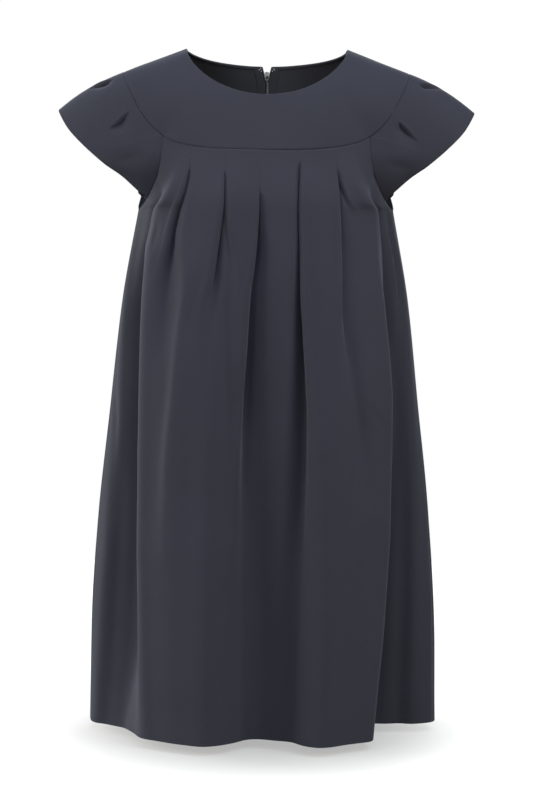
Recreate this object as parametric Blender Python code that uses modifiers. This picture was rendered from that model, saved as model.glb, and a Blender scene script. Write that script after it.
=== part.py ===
"""A shift dress with a round yoke, five released tucks, cap sleeves and a zip at the centre back.

The dress is held out in its worn, hollow form, as over the shoulders of a general figure.  It hangs
from its shoulders: the origin lies midway between the two neck points, at their height.  +Z is up,
the front faces -Y, and +X is on the right of someone who looks at the front.  Each piece of cloth is
one sheet on the figure's form, given its thickness inwards.  Tables are in millimetres.
"""

import math

import bmesh
import bpy
import numpy as np
from mathutils import Matrix, Vector

MM = 0.001

# cloth and seams, metres
CLOTH = 0.0015
SEAM_GAP = 0.0003
SIDE_SEAM_GAP = 0.0009
TURNED_SEAM_GAP = 0.0011

# heights, millimetres below the neck points
CHEST = -205.0
HEM = -870.0

# neck: half width, and how deep and how far forward or back its middle lies
NECK_HALF_WIDTH = 102.8
NECK_FRONT_DROP = 61.0
NECK_FRONT_REACH = 66.0
NECK_BACK_DROP = 17.5
NECK_BACK_REACH = 74.0
NECK_DROP_POWER = 1.3
NECK_REACH_POWER = 0.8
NECK_KNOTS = 9

# the shoulder's outer point, where the shoulder seam meets the sleeve
SHOULDER_TIP = (182.0, 0.0, -30.0)

# the round seam under the yoke, from the centre front to the corner where the panel ends
YOKE_SEAM = [
    # across, depth, height
    (0.0, -92.0, -131.0),
    (35.0, -91.0, -130.6),
    (67.0, -87.0, -129.4),
    (94.0, -79.0, -126.0),
    (114.0, -70.0, -121.0),
    (130.0, -61.0, -113.5),
]
# the same curve goes on as the front of the armhole, up to the shoulder's outer point
YOKE_SIDE = [
    (146.0, -56.5, -100.0),
    (161.0, -50.0, -79.5),
    (174.5, -38.0, -52.5),
    (180.5, -23.0, -38.0),
    (182.0, -11.5, -32.0),
]
# the armhole below the yoke, from its corner to the underarm
ARMHOLE_FRONT = [
    (131.5, -62.0, -138.0),
    (136.5, -56.0, -161.0),
    (145.5, -40.0, -182.5),
    (156.0, -14.0, -198.0),
]
# the armhole at the back, from the underarm up to the shoulder's outer point
ARMHOLE_BACK = [
    (165.5, 38.0, -199.0),
    (161.0, 57.0, -178.0),
    (154.0, 64.0, -146.0),
    (156.0, 61.0, -112.0),
    (164.0, 52.0, -80.0),
    (173.0, 39.0, -55.0),
    (179.5, 24.0, -39.5),
    (182.0, 12.0, -32.3),
]

# level sections of the body.  Depths in front are negative.  The lobes are the two fullest places
# of the front, one each side of its middle, and the side is the widest point, at the side seam.
SECTION = ("height", "middle", "lobe_across", "lobe", "side_across", "side", "hip", "back")
SECTIONS = [
    (-205.0, -114.0, 60.0, -116.0, 164.0, 12.0, 70.0, 103.0),
    (-320.0, -124.0, 66.0, -130.0, 184.0, 12.0, 76.0, 108.0),
    (-450.0, -121.0, 72.0, -138.0, 198.0, 12.0, 80.0, 112.0),
    (-600.0, -114.0, 76.0, -143.0, 213.5, 12.0, 84.0, 118.0),
    (-740.0, -110.0, 76.0, -147.0, 222.0, 12.0, 88.0, 124.0),
    (-870.0, -108.0, 74.0, -150.0, 224.0, 12.0, 94.0, 130.0),
]
# the long fold at each side of the front: the cloth comes forward to an edge and turns back to
# a root behind it, before it goes out to the side seam
TURN = ("height", "edge_across", "edge", "root_across", "root")
TURN_LEFT = [
    (-205.0, 147.0, -74.0, 155.0, -34.0),
    (-320.0, 155.0, -86.0, 152.0, -44.0),
    (-450.0, 158.0, -92.0, 151.0, -44.0),
    (-600.0, 160.0, -95.0, 152.0, -44.0),
    (-740.0, 157.0, -99.0, 156.0, -46.0),
    (-870.0, 152.0, -102.0, 171.0, -54.0),
]
TURN_RIGHT = [
    (-205.0, 146.0, -74.0, 154.0, -34.0),
    (-320.0, 153.5, -86.0, 150.0, -42.0),
    (-450.0, 158.0, -92.0, 149.0, -40.0),
    (-600.0, 158.0, -96.0, 146.0, -34.0),
    (-740.0, 151.0, -102.0, 140.0, -26.0),
    (-870.0, 139.0, -108.0, 138.0, -16.0),
]
# the front's face bends towards the fold's edge from this far inside it and behind it
CHEEK_BACK = 14.0
CHEEK_IN = 17.0
# the back's own knots: where the hip and the shoulder blade lie, as shares of the half width, and
# how much less deep than its middle the back is at the blade
HIP_SHARE = 0.90
BLADE_SHARE = 0.56
BLADE_LOSS = 0.05

# the five tucks under the yoke open out into troughs, and other soft troughs lie lower down.
# The line runs through the places at the top, in the middle and at the foot.  A fold is fully deep
# at its rise below its top, and widens from its width to its flare.
FOLD = (
    "name", "top", "top_at", "middle", "middle_at", "foot", "foot_at",
    "depth", "width", "flare", "rise",
)
FRONT_FOLDS = [
    ("tuck_1", -142.0, -93.0, -235.0, -114.0, -370.0, -117.0, 10.0, 5.5, 14.0, 26.0),
    ("tuck_2", -142.0, -51.0, -240.0, -54.0, -360.0, -60.0, 9.0, 5.5, 14.0, 26.0),
    ("tuck_3", -150.0, -8.0, -310.0, -18.0, -640.0, -24.0, 10.0, 5.5, 13.0, 26.0),
    ("tuck_4", -142.0, 41.0, -330.0, 45.0, -680.0, 52.0, 13.0, 5.5, 15.0, 26.0),
    ("tuck_5", -142.0, 90.0, -225.0, 96.0, -430.0, 98.0, 9.0, 5.5, 12.0, 26.0),
    ("left_soft", -300.0, -96.0, -480.0, -98.0, -760.0, -96.0, 4.0, 14.0, 26.0, 90.0),
    ("right_soft", -380.0, 106.0, -560.0, 108.0, -800.0, 104.0, 3.5, 12.0, 24.0, 90.0),
]
BACK_FOLDS = [
    ("left_blade", -250.0, -62.0, -520.0, -74.0, -900.0, -84.0, 9.0, 14.0, 30.0, 130.0),
    ("right_blade", -250.0, 62.0, -520.0, 72.0, -900.0, 80.0, 9.0, 14.0, 30.0, 130.0),
    ("left_hip", -330.0, -124.0, -600.0, -140.0, -900.0, -150.0, 8.0, 14.0, 26.0, 130.0),
    ("right_hip", -330.0, 124.0, -600.0, 138.0, -900.0, 146.0, 8.0, 14.0, 26.0, 130.0),
]
FOLD_FADE_FROM = 0.5
# the cloth rises on both sides of a fold: how high, how far from its line and how wide, as shares
# of the fold's own depth and width
RIDGE_HEIGHT = 0.22
RIDGE_AT = 2.0
RIDGE_WIDTH = 0.9
# each half of the front has more columns where its tucks run, at these shares of its width
LEFT_TUCK_SHARES = (0.075, 0.37, 0.74)
RIGHT_TUCK_SHARES = (0.30, 0.66)
TUCK_CROWDING = 1.7
TUCK_REACH = 0.055
# the share of a row over which the armhole's curve draws the cloth in
EDGE_REACH = 0.55

# the sleeve's free edge, from the front of the armhole over its tip to the back
SLEEVE_EDGE = [
    # across, depth, height
    (158.0, -37.0, -186.0),
    (182.0, -54.0, -164.5),
    (204.0, -60.0, -149.0),
    (232.0, -54.0, -124.5),
    (252.0, -38.0, -103.5),
    (266.5, 2.0, -79.5),
    (250.0, 40.0, -103.0),
    (226.0, 60.0, -128.0),
    (198.0, 68.0, -152.0),
    (174.0, 64.0, -172.0),
]
SLEEVE_TIP_KNOT = 5
# its four tucks, by their share of the way round the armhole
SLEEVE_TUCKS = (0.285, 0.465, 0.560, 0.735)
SLEEVE_TUCK_DEPTH = 3.5
SLEEVE_TUCK_WIDTH = 0.030
SLEEVE_TUCK_POWER = 0.8

# the ways that the cloth leaves a seam: at the yoke's middle, on its shoulder, under the yoke, at
# the back's neck and shoulder, and how far a sleeve bulges from its straight line
YOKE_MIDDLE_WAY = (0.0, -0.36, -1.0)
YOKE_BULGE = (0.0, -0.32, 0.10)
PANEL_TOP_WAY = (0.0, -0.30, -1.0)
BACK_NECK_WAY = (0.0, 0.26, -1.0)
BACK_SHOULDER_WAY = (0.0, 1.0, -0.02)
SLEEVE_CROWN = (0.10, 0.0, 0.16)

# the split at the top of the centre back, and the zip in it
SPLIT_DEPTH = 20.0
SPLIT_HALF_WIDTH = 7.5
SPLIT_REACH = 3.0
SPLIT_MOST = 1.2
ZIP_TOP = 2.5
ZIP_LENGTH = 450.0
ZIP_ROWS = 18
TAPE_WIDTH = 11.0
TAPE_THICK = 0.5
ZIP_LEVEL = -2.0
CHAIN_WIDTH = 2.6
CHAIN_THICK = 1.0
CHAIN_TOP = 20.5
CHAIN_CLEAR = 0.4

# the slider: a plate inside the back, a post through the split, a plate outside and its bail
SLIDER_AT = 11.5
INNER_PLATE = (8.4, 12.0, 0.9)
INNER_PLATE_FOOT = 0.66
INNER_PLATE_LEVEL = -3.5
POST = (2.2, 4.4)
OUTER_PLATE = (6.4, 9.6, 0.9)
OUTER_PLATE_LEVEL = 0.4
BAIL_WIDTH = 1.4
BAIL_LENGTH = 6.8
BAIL_THICK = 1.0
BAIL_CLEAR = 2.4

# the pull tab, hung by the bar at its top in the bail
TAB = (5.4, 22.0, 0.9)
TAB_BAR = 0.9
TAB_EYE = (3.0, 5.5)
TAB_DROP = 1.0
TAB_LEAN = math.radians(-8.5)
JOINED = 0.3

# how finely the sheets are divided, and the share of a row that a narrow band beside a seam takes
SEAM_BAND = 0.010
PANEL_BAND = 0.045
FRONT_COLUMNS = 21
SIDE_COLUMNS = 6
YOKE_SIDE_COLUMNS = 9
YOKE_CROWDING = 1.8
YOKE_ROWS = 6
CHEST_ROWS = 7
BODY_ROWS = 17
BACK_COLUMNS = 16
BACK_TOP_ROWS = 11
SLEEVE_ROWS = 6
BACK_NECK_COLUMNS = 9
SLEEVE_LOW_ROW = 5
SLEEVE_BACK_ROW = 9
FOLD_SHARE = FRONT_COLUMNS / (FRONT_COLUMNS + SIDE_COLUMNS)
# places that lie closer together at their start: how large a share follows a power, and which
ARMHOLE_SPREAD = (0.45, 1.3)
BACK_TOP_SPREAD = (0.65, 1.7)
BODY_SPREAD = (0.38, 1.6)
ZIP_SPREAD = (1.0, 1.6)
# the rows' way down is read over these distances, at the chest and at the slider
CHEST_STEP = 12.0
SLIDER_STEP = 6.0
FINE_STEPS = 400

# finishes: colour and roughness
CLOTH_FINISH = ((0.030, 0.033, 0.046), 0.85)
BACK_CLOTH_FINISH = ((0.026, 0.028, 0.038), 0.88)
TAPE_FINISH = ((0.020, 0.021, 0.027), 0.90)
METAL_FINISH = ((0.42, 0.42, 0.42), 0.38)


# ---------------------------------------------------------------- curves

class Curve:
    """A smooth open curve through a few knots, read by its length or between two knots."""

    STEPS = 20

    def __init__(self, knots):
        knots = np.array(knots, float)
        first = 2.0 * knots[0] - knots[1]
        last = 2.0 * knots[-1] - knots[-2]
        padded = np.vstack([first, knots, last])
        shares = np.linspace(0.0, 1.0, self.STEPS, endpoint=False)
        pieces = [self.span(padded[i:i + 4], shares) for i in range(len(knots) - 1)]
        self.points = np.vstack(pieces + [knots[-1:]])
        steps = np.linalg.norm(np.diff(self.points, axis=0), axis=1)
        self.along = np.concatenate([[0.0], np.cumsum(steps)])
        self.length = self.along[-1]

    @staticmethod
    def span(four, shares):
        """One stretch of a centripetal Catmull-Rom curve, by repeated linear mixing."""
        gaps = np.sqrt(np.linalg.norm(np.diff(four, axis=0), axis=1))
        t0, t1, t2, t3 = np.concatenate([[0.0], np.cumsum(gaps)])
        t = (t1 + (t2 - t1) * shares)[:, None]
        a = (t1 - t) / (t1 - t0) * four[0] + (t - t0) / (t1 - t0) * four[1]
        b = (t2 - t) / (t2 - t1) * four[1] + (t - t1) / (t2 - t1) * four[2]
        c = (t3 - t) / (t3 - t2) * four[2] + (t - t2) / (t3 - t2) * four[3]
        d = (t2 - t) / (t2 - t0) * a + (t - t0) / (t2 - t0) * b
        e = (t3 - t) / (t3 - t1) * b + (t - t1) / (t3 - t1) * c
        return (t2 - t) / (t2 - t1) * d + (t - t1) / (t2 - t1) * e

    def at(self, shares):
        """Points at the given shares of the whole length."""
        reach = np.clip(shares, 0.0, 1.0) * self.length
        return np.stack([np.interp(reach, self.along, axis) for axis in self.points.T], axis=-1)

    def between(self, start, stop, shares):
        """Points at the given shares of the length between two knots."""
        low = self.along[start * self.STEPS]
        high = self.along[stop * self.STEPS]
        return self.at((low + (high - low) * shares) / self.length)


def ease(value):
    """A smooth step from 0 to 1."""
    value = np.clip(value, 0.0, 1.0)
    return value * value * (3.0 - 2.0 * value)


def read_row(names, table, height):
    """The columns of a table at one height, eased from row to row without overshoot."""
    rows = np.array(table, float)[::-1]
    heights = rows[:, 0]
    slopes = np.diff(rows, axis=0) / np.diff(heights)[:, None]
    inner = np.where(
        slopes[:-1] * slopes[1:] > 0.0,
        2.0 * slopes[:-1] * slopes[1:] / (slopes[:-1] + slopes[1:] + 1e-12),
        0.0,
    )
    tangents = np.vstack([slopes[:1], inner, slopes[-1:]])
    i = int(np.clip(np.searchsorted(heights, height) - 1, 0, len(heights) - 2))
    gap = heights[i + 1] - heights[i]
    t = (height - heights[i]) / gap
    mixed = (
        rows[i] * (1.0 + 2.0 * t) * (1.0 - t) ** 2
        + tangents[i] * gap * t * (1.0 - t) ** 2
        + rows[i + 1] * t * t * (3.0 - 2.0 * t)
        + tangents[i + 1] * gap * t * t * (t - 1.0)
    )
    return dict(zip(names, mixed))


def even_shares(count, low_band=0.0, high_band=0.0):
    """Even shares from 0 to 1, with one more close to an end where a band is given."""
    shares = list(np.linspace(0.0, 1.0, count + 1))
    if low_band:
        shares.insert(1, low_band)
    if high_band:
        shares.insert(-1, 1.0 - high_band)
    return np.array(shares)


def spread(even, share, power):
    """Even shares moved together at their start."""
    return (1.0 - share) * even + share * even ** power


def mirrored(points):
    """The same points on the other side of the middle."""
    return np.array(points, float) * (-1.0, 1.0, 1.0)


# ---------------------------------------------------------------- the figure's form

def neckline(drop, reach):
    """Half of the neck's edge, from its middle to the neck point, as a curve."""
    angle = np.linspace(math.pi / 2.0, 0.0, NECK_KNOTS)
    sine = np.sin(angle)
    knots = np.stack(
        [
            NECK_HALF_WIDTH * np.cos(angle),
            reach * sine ** NECK_REACH_POWER,
            -drop * sine ** NECK_DROP_POWER,
        ],
        axis=-1,
    )
    return Curve(knots)


def front_knots(height, turn_table):
    """Knots of half a section's front, from its middle to the side seam, on the +X side."""
    row = read_row(SECTION, SECTIONS, height)
    turn = read_row(TURN, turn_table, height)
    flat = [
        (0.0, row["middle"]),
        (row["lobe_across"], row["lobe"]),
        (turn["edge_across"] - CHEEK_IN, turn["edge"] - CHEEK_BACK),
        (turn["edge_across"], turn["edge"]),
        (turn["root_across"], turn["root"]),
        (row["side_across"], row["side"]),
    ]
    return [(across, depth, height) for across, depth in flat]


def back_knots(height):
    """Knots of half a section's back, from the side seam to its middle, on the +X side."""
    row = read_row(SECTION, SECTIONS, height)
    flat = [
        (row["side_across"], row["side"]),
        (row["side_across"] * HIP_SHARE, row["hip"]),
        (row["side_across"] * BLADE_SHARE, row["back"] - row["side_across"] * BLADE_LOSS),
        (0.0, row["back"]),
    ]
    return [(across, depth, height) for across, depth in flat]


# which knots of a section are its middle, its long fold's edge, its side and its back's middle
FRONT_KNOT = 1
EDGE_KNOT = 4
SIDE_KNOT = 6
BACK_KNOT = 9


def section_curve(height, turn_table, side):
    """Half a section, from the front's middle round the side to the back's middle, and past both."""
    front = front_knots(height, turn_table)
    back = back_knots(height)
    before = mirrored(front[1:2])
    after = mirrored(back[-2:-1])
    knots = np.vstack([before, front, back[1:], after]) * (side, 1.0, 1.0)
    return Curve(knots)


def half_front_ring(height, turn_table, side, shares):
    """Points of half the front at one height, by shares that put the long fold at FOLD_SHARE."""
    curve = section_curve(height, turn_table, side)
    face = curve.between(FRONT_KNOT, EDGE_KNOT, np.clip(shares / FOLD_SHARE, 0.0, 1.0))
    flank_shares = np.clip((shares - FOLD_SHARE) / (1.0 - FOLD_SHARE), 0.0, 1.0)
    flank = curve.between(EDGE_KNOT, SIDE_KNOT, flank_shares)
    return np.where((shares <= FOLD_SHARE)[:, None], face, flank)


def half_back_ring(height, turn_table, side, shares):
    """Points of half the back at one height, from the centre back to the side seam."""
    curve = section_curve(height, turn_table, side)
    return curve.between(BACK_KNOT, SIDE_KNOT, shares)


def fold_depths(points, folds):
    """How far the cloth is drawn in at each point by the folds, in millimetres."""
    across = points[..., 0]
    height = points[..., 2]
    total = np.zeros(across.shape)
    for row in folds:
        fold = dict(zip(FOLD, row))
        line_heights = (fold["foot"], fold["middle"], fold["top"])
        line_places = (fold["foot_at"], fold["middle_at"], fold["top_at"])
        line = np.interp(height, line_heights, line_places)
        down = np.clip((fold["top"] - height) / (fold["top"] - fold["foot"]), 0.0, 1.0)
        width = fold["width"] + (fold["flare"] - fold["width"]) * np.sqrt(down)
        rise = ease((fold["top"] - height) / fold["rise"])
        fade = 1.0 - ease((down - FOLD_FADE_FROM) / (1.0 - FOLD_FADE_FROM))
        reach = (across - line) / width
        ridges = np.exp(-((np.abs(reach) - RIDGE_AT) / RIDGE_WIDTH) ** 2)
        total = total + fold["depth"] * rise * fade * (np.exp(-reach * reach) - RIDGE_HEIGHT * ridges)
    return total


def outward(grid):
    """Unit normals of a grid of points, by the right-hand rule along its columns and rows."""
    along = np.gradient(grid, axis=1)
    up = np.gradient(grid, axis=0)
    normal = np.cross(along, up)
    return normal / np.linalg.norm(normal, axis=-1, keepdims=True)


def drawn_in(grid, folds):
    """The grid with its folds pressed into it."""
    return grid - outward(grid) * fold_depths(grid, folds)[..., None]


def columns_down(top, foot, top_way, foot_way, shares):
    """Smooth columns from one row of points to another, leaving and arriving in given ways."""
    reach = np.linalg.norm(foot - top, axis=-1, keepdims=True)
    t = shares[:, None, None]
    return (
        top * (1.0 + 2.0 * t) * (1.0 - t) ** 2
        + top_way * reach * t * (1.0 - t) ** 2
        + foot * t * t * (3.0 - 2.0 * t)
        + foot_way * reach * t * t * (t - 1.0)
    )


def drawn_to_edge(grid, edge, shares):
    """The grid with its last column moved on to an edge curve, fading over the columns before."""
    weight = ease((shares - (1.0 - EDGE_REACH)) / EDGE_REACH)[None, :, None]
    return grid + weight * (edge - grid[:, -1])[:, None, :]


def unit(vectors):
    """The vectors at a length of one."""
    return vectors / np.linalg.norm(vectors, axis=-1, keepdims=True)


YOKE_EDGE = Curve(YOKE_SEAM + YOKE_SIDE + [SHOULDER_TIP])
YOKE_CORNER = len(YOKE_SEAM) - 1


def underarm():
    """The side seam's top, where the two armholes meet it."""
    row = read_row(SECTION, SECTIONS, CHEST)
    return (row["side_across"], row["side"], CHEST)


# Two pieces that meet at a seam take their places along it from the same function.

def crowded(shares, places):
    """Shares from 0 to 1, drawn together round the given places."""
    fine = np.linspace(0.0, 1.0, FINE_STEPS + 1)
    density = 1.0 + TUCK_CROWDING * sum(np.exp(-(((fine - at) / TUCK_REACH) ** 2)) for at in places)
    run = np.concatenate([[0.0], np.cumsum((density[1:] + density[:-1]) / 2.0)])
    return np.interp(shares, run / run[-1], fine)


def panel_shares(side):
    """Shares of half a front row, from the middle to the side, the same in every row."""
    tucks = RIGHT_TUCK_SHARES if side > 0 else LEFT_TUCK_SHARES
    face = FOLD_SHARE * crowded(np.linspace(0.0, 1.0, FRONT_COLUMNS + 1), tucks)
    flank = even_shares(SIDE_COLUMNS, high_band=PANEL_BAND)
    return np.concatenate([face[:-1], FOLD_SHARE + (1.0 - FOLD_SHARE) * flank])


def yoke_shares(side):
    """Shares of the yoke's round edge: the panel's own up to its corner, then the yoke's side."""
    corner = YOKE_EDGE.along[YOKE_CORNER * Curve.STEPS] / YOKE_EDGE.length
    even = np.linspace(0.0, 1.0, YOKE_SIDE_COLUMNS + 1)
    beside = 1.0 - (1.0 - even) ** YOKE_CROWDING
    return np.concatenate([corner * panel_shares(side)[:-1], corner + (1.0 - corner) * beside])


def armhole_under_yoke():
    """The armhole from the yoke's corner down to the underarm."""
    armhole = Curve([YOKE_SEAM[-1]] + ARMHOLE_FRONT + [underarm()])
    return armhole.at(np.linspace(0.0, 1.0, CHEST_ROWS + 1))


def armhole_at_yoke():
    """The armhole from the yoke's corner up to the shoulder's outer point."""
    return YOKE_EDGE.at(yoke_shares(1.0)[-YOKE_SIDE_COLUMNS - 1:])


def back_row_shares():
    """Shares of the back's columns above the chest, from the top down."""
    return even_shares(BACK_TOP_ROWS, low_band=SEAM_BAND)


def armhole_at_back():
    """The armhole from the shoulder's outer point down the back to the underarm."""
    armhole = Curve([SHOULDER_TIP] + ARMHOLE_BACK[::-1] + [underarm()])
    return armhole.at(spread(back_row_shares(), *ARMHOLE_SPREAD))


# ---------------------------------------------------------------- sheets of points
# Each sheet is a grid on the +X side or for one side, with its rows from the top down, and is
# turned round at the end so that its normals point outwards.

def half_yoke(shares_across):
    """Half of the yoke, from the centre front to the shoulder seam."""
    top = neckline(NECK_FRONT_DROP, -NECK_FRONT_REACH).at(shares_across)
    foot = YOKE_EDGE.at(shares_across)
    turned = ease(shares_across)[:, None]
    middle_way = unit(np.array(YOKE_MIDDLE_WAY))
    seam_way = unit(np.array(SHOULDER_TIP) - (NECK_HALF_WIDTH, 0.0, 0.0))
    chord = unit(foot - top)
    bulge = np.array(YOKE_BULGE) * np.sin(turned * math.pi)
    top_way = middle_way * (1.0 - turned) + seam_way * turned + bulge
    foot_way = chord - bulge
    last = (shares_across >= 1.0)[:, None]
    top_way = np.where(last, seam_way, top_way)
    foot_way = np.where(last, seam_way, foot_way)
    return columns_down(top, foot, top_way, foot_way, np.linspace(0.0, 1.0, YOKE_ROWS + 1))


def yoke_grid():
    """The whole yoke, from one shoulder seam to the other."""
    right = half_yoke(yoke_shares(1.0))
    left = mirrored(half_yoke(yoke_shares(-1.0)))[:, ::-1]
    return np.concatenate([left[:, :-1], right], axis=1)


def body_heights():
    """Heights of the level rows below the chest, closer together near the top."""
    even = np.linspace(0.0, 1.0, BODY_ROWS + 1)
    return CHEST + (HEM - CHEST) * spread(even, *BODY_SPREAD)


def half_panel(turn_table, side):
    """Half of the front panel, from the centre front to the armhole and the side seam."""
    shares = panel_shares(side)
    top = YOKE_EDGE.between(0, YOKE_CORNER, shares) * (side, 1.0, 1.0)
    chest = half_front_ring(CHEST, turn_table, side, shares)
    below = half_front_ring(CHEST - CHEST_STEP, turn_table, side, shares)
    top_way = unit(np.array(PANEL_TOP_WAY)) * np.ones_like(top)
    upper = columns_down(
        top, chest, top_way, unit(below - chest), np.linspace(0.0, 1.0, CHEST_ROWS + 1)
    )
    upper = drawn_to_edge(upper, armhole_under_yoke() * (side, 1.0, 1.0), shares)
    lower = [half_front_ring(height, turn_table, side, shares) for height in body_heights()]
    return np.concatenate([upper[:-1], np.array(lower)], axis=0)


def panel_grid():
    """The whole front panel with its tucks and folds."""
    right = half_panel(TURN_RIGHT, 1.0)
    left = half_panel(TURN_LEFT, -1.0)[:, ::-1]
    grid = np.concatenate([left[:, :-1], right], axis=1)[::-1]
    return drawn_in(grid, FRONT_FOLDS)


def back_rows(side):
    """One side of the back, from its top down and from the centre back outwards."""
    turn_table = TURN_RIGHT if side > 0 else TURN_LEFT
    shares = even_shares(BACK_COLUMNS, low_band=SEAM_BAND, high_band=SEAM_BAND)
    neck = neckline(NECK_BACK_DROP, NECK_BACK_REACH)
    neck_share = BACK_NECK_COLUMNS / BACK_COLUMNS
    shoulder = Curve([(NECK_HALF_WIDTH, 0.0, 0.0), SHOULDER_TIP])
    on_neck = neck.at(shares / neck_share)
    on_shoulder = shoulder.at((shares - neck_share) / (1.0 - neck_share))
    top = np.where((shares <= neck_share)[:, None], on_neck, on_shoulder) * (side, 1.0, 1.0)
    chest = half_back_ring(CHEST, turn_table, side, shares)
    below = half_back_ring(CHEST - CHEST_STEP, turn_table, side, shares)
    over = ease(shares / neck_share)[:, None]
    neck_way = unit(np.array(BACK_NECK_WAY))
    top_way = unit(neck_way * (1.0 - over) + np.array(BACK_SHOULDER_WAY) * over)
    down = spread(back_row_shares(), *BACK_TOP_SPREAD)
    upper = columns_down(top, chest, top_way, unit(below - chest), down)
    upper = drawn_to_edge(upper, armhole_at_back() * (side, 1.0, 1.0), shares)
    lower = [half_back_ring(height, turn_table, side, shares) for height in body_heights()]
    return np.concatenate([upper[:-1], np.array(lower)], axis=0)


def split_open(grid, side):
    """The back's sheet with its centre edge spread apart in a small V under the neck."""
    grid = grid.copy()
    foot = -NECK_BACK_DROP - SPLIT_DEPTH
    share = np.clip((grid[..., 2] - foot) / SPLIT_DEPTH, 0.0, SPLIT_MOST)
    near = np.exp(-((grid[..., 0] / (SPLIT_REACH * SPLIT_HALF_WIDTH)) ** 2))
    grid[..., 0] += side * SPLIT_HALF_WIDTH * share * near
    return grid


def back_grid(side):
    """One side of the back with its soft folds, its rows from the hem up."""
    grid = back_rows(side)[::-1]
    if side > 0:
        grid = grid[:, ::-1]
    return drawn_in(grid, BACK_FOLDS)


def strip_on_back(side, near, far, top, foot, count):
    """A strip down the inside of the back, between two distances from the middle."""
    rows = back_rows(side)
    lines = []
    for across in (near, far):
        line = np.array([[side * across, *on_row(row, side * across)] for row in rows])
        steps = np.linalg.norm(np.diff(line, axis=0), axis=1)
        down = np.concatenate([[0.0], np.cumsum(steps)])
        places = top + (foot - top) * spread(np.linspace(0.0, 1.0, count + 1), *ZIP_SPREAD)
        lines.append(np.stack([np.interp(places, down, axis) for axis in line.T], axis=-1))
    grid = np.stack(lines, axis=1)[::-1]
    if side * (far - near) > 0:
        grid = grid[:, ::-1]
    return grid + outward(grid) * ZIP_LEVEL


def on_row(row, across):
    """Depth and height of a row of points where it passes a distance from the middle."""
    order = np.argsort(row[:, 0])
    return [np.interp(across, row[order, 0], row[order, axis]) for axis in (1, 2)]


def centre_back(distance):
    """The point of the centre back at a distance under the neck, and the way down there."""
    line = back_rows(1.0)[:, 0]
    steps = np.linalg.norm(np.diff(line, axis=0), axis=1)
    down = np.concatenate([[0.0], np.cumsum(steps)])
    near, here, far = (
        Vector([np.interp(distance + move, down, axis) for axis in line.T])
        for move in (-SLIDER_STEP, 0.0, SLIDER_STEP)
    )
    return here, (far - near).normalized()


def sleeve_seam():
    """The sleeve's places on the armhole, from its start in front to its end at the back."""
    front = armhole_under_yoke()[SLEEVE_LOW_ROW::-1]
    back = armhole_at_back()[:SLEEVE_BACK_ROW + 1]
    return np.vstack([front[:-1], armhole_at_yoke()[:-1], back])


def sleeve_grid(side):
    """One cap sleeve, from the armhole to its free edge, on the +X side or mirrored."""
    top = sleeve_seam()
    along = np.concatenate([[0.0], np.cumsum(np.linalg.norm(np.diff(top, axis=0), axis=1))])
    tip = along[SLEEVE_LOW_ROW + YOKE_SIDE_COLUMNS]
    front = np.clip(along / tip, 0.0, 1.0)
    back = np.clip((along - tip) / (along[-1] - tip), 0.0, 1.0)
    free = Curve(SLEEVE_EDGE)
    in_front = (along <= tip)[:, None]
    before = free.between(0, SLEEVE_TIP_KNOT, front)
    behind = free.between(SLEEVE_TIP_KNOT, len(SLEEVE_EDGE) - 1, back)
    foot = np.where(in_front, before, behind)
    shares = (front + back) / 2.0
    chord = unit(foot - top)
    crown = np.array(SLEEVE_CROWN) * np.sin(shares * math.pi)[:, None]
    rows = np.linspace(0.0, 1.0, SLEEVE_ROWS + 1)
    grid = columns_down(top, foot, chord + crown, chord - crown, rows)[:, ::-1]
    drop = np.clip(np.sin(rows * math.pi), 0.0, 1.0)[:, None] ** SLEEVE_TUCK_POWER
    tucks = sum(np.exp(-(((shares - place) / SLEEVE_TUCK_WIDTH) ** 2)) for place in SLEEVE_TUCKS)
    depth = SLEEVE_TUCK_DEPTH * drop * tucks[None, ::-1]
    grid = grid - outward(grid) * depth[..., None]
    if side < 0:
        grid = mirrored(grid)[:, ::-1]
    return grid


# ---------------------------------------------------------------- making the pieces

def clear_scene():
    """Removes whatever objects the scene starts with."""
    for item in list(bpy.data.objects):
        bpy.data.objects.remove(item, do_unlink=True)


def material(name, colour, roughness, metallic=0.0):
    """A plain Principled material."""
    made = bpy.data.materials.new(name)
    made.use_nodes = True
    shader = made.node_tree.nodes["Principled BSDF"]
    shader.inputs["Base Color"].default_value = (*colour, 1.0)
    shader.inputs["Roughness"].default_value = roughness
    shader.inputs["Metallic"].default_value = metallic
    made.diffuse_color = (*colour, 1.0)
    return made


def pulled_back(grid, left=0.0, right=0.0, low=0.0, high=0.0):
    """The grid, in millimetres, with each border drawn in along the sheet by a clearance."""
    grid = grid.copy()

    def step(border, inner, amount):
        way = unit(inner - border)
        return border + way * amount

    grid[:, 0] = step(grid[:, 0], grid[:, 1], left)
    grid[:, -1] = step(grid[:, -1], grid[:, -2], right)
    grid[0] = step(grid[0], grid[1], low)
    grid[-1] = step(grid[-1], grid[-2], high)
    return grid


def sheet(name, grid, thickness, finish, home):
    """A sheet of cloth: a grid laid on the given points, in millimetres, with a thickness."""
    rows, columns = grid.shape[:2]
    mesh_maker = bmesh.new()
    bmesh.ops.create_grid(mesh_maker, x_segments=columns - 1, y_segments=rows - 1, size=1.0)
    mesh_maker.verts.ensure_lookup_table()
    for vertex, place in zip(mesh_maker.verts, grid.reshape(-1, 3) * MM):
        vertex.co = place
    mesh = bpy.data.meshes.new(name)
    mesh_maker.to_mesh(mesh)
    mesh_maker.free()
    mesh.shade_smooth()
    mesh.materials.append(finish)
    made = bpy.data.objects.new(name, mesh)
    home.objects.link(made)
    wall = made.modifiers.new("thickness", "SOLIDIFY")
    wall.thickness = thickness
    wall.offset = -1.0
    wall.use_even_offset = True
    return made


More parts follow.
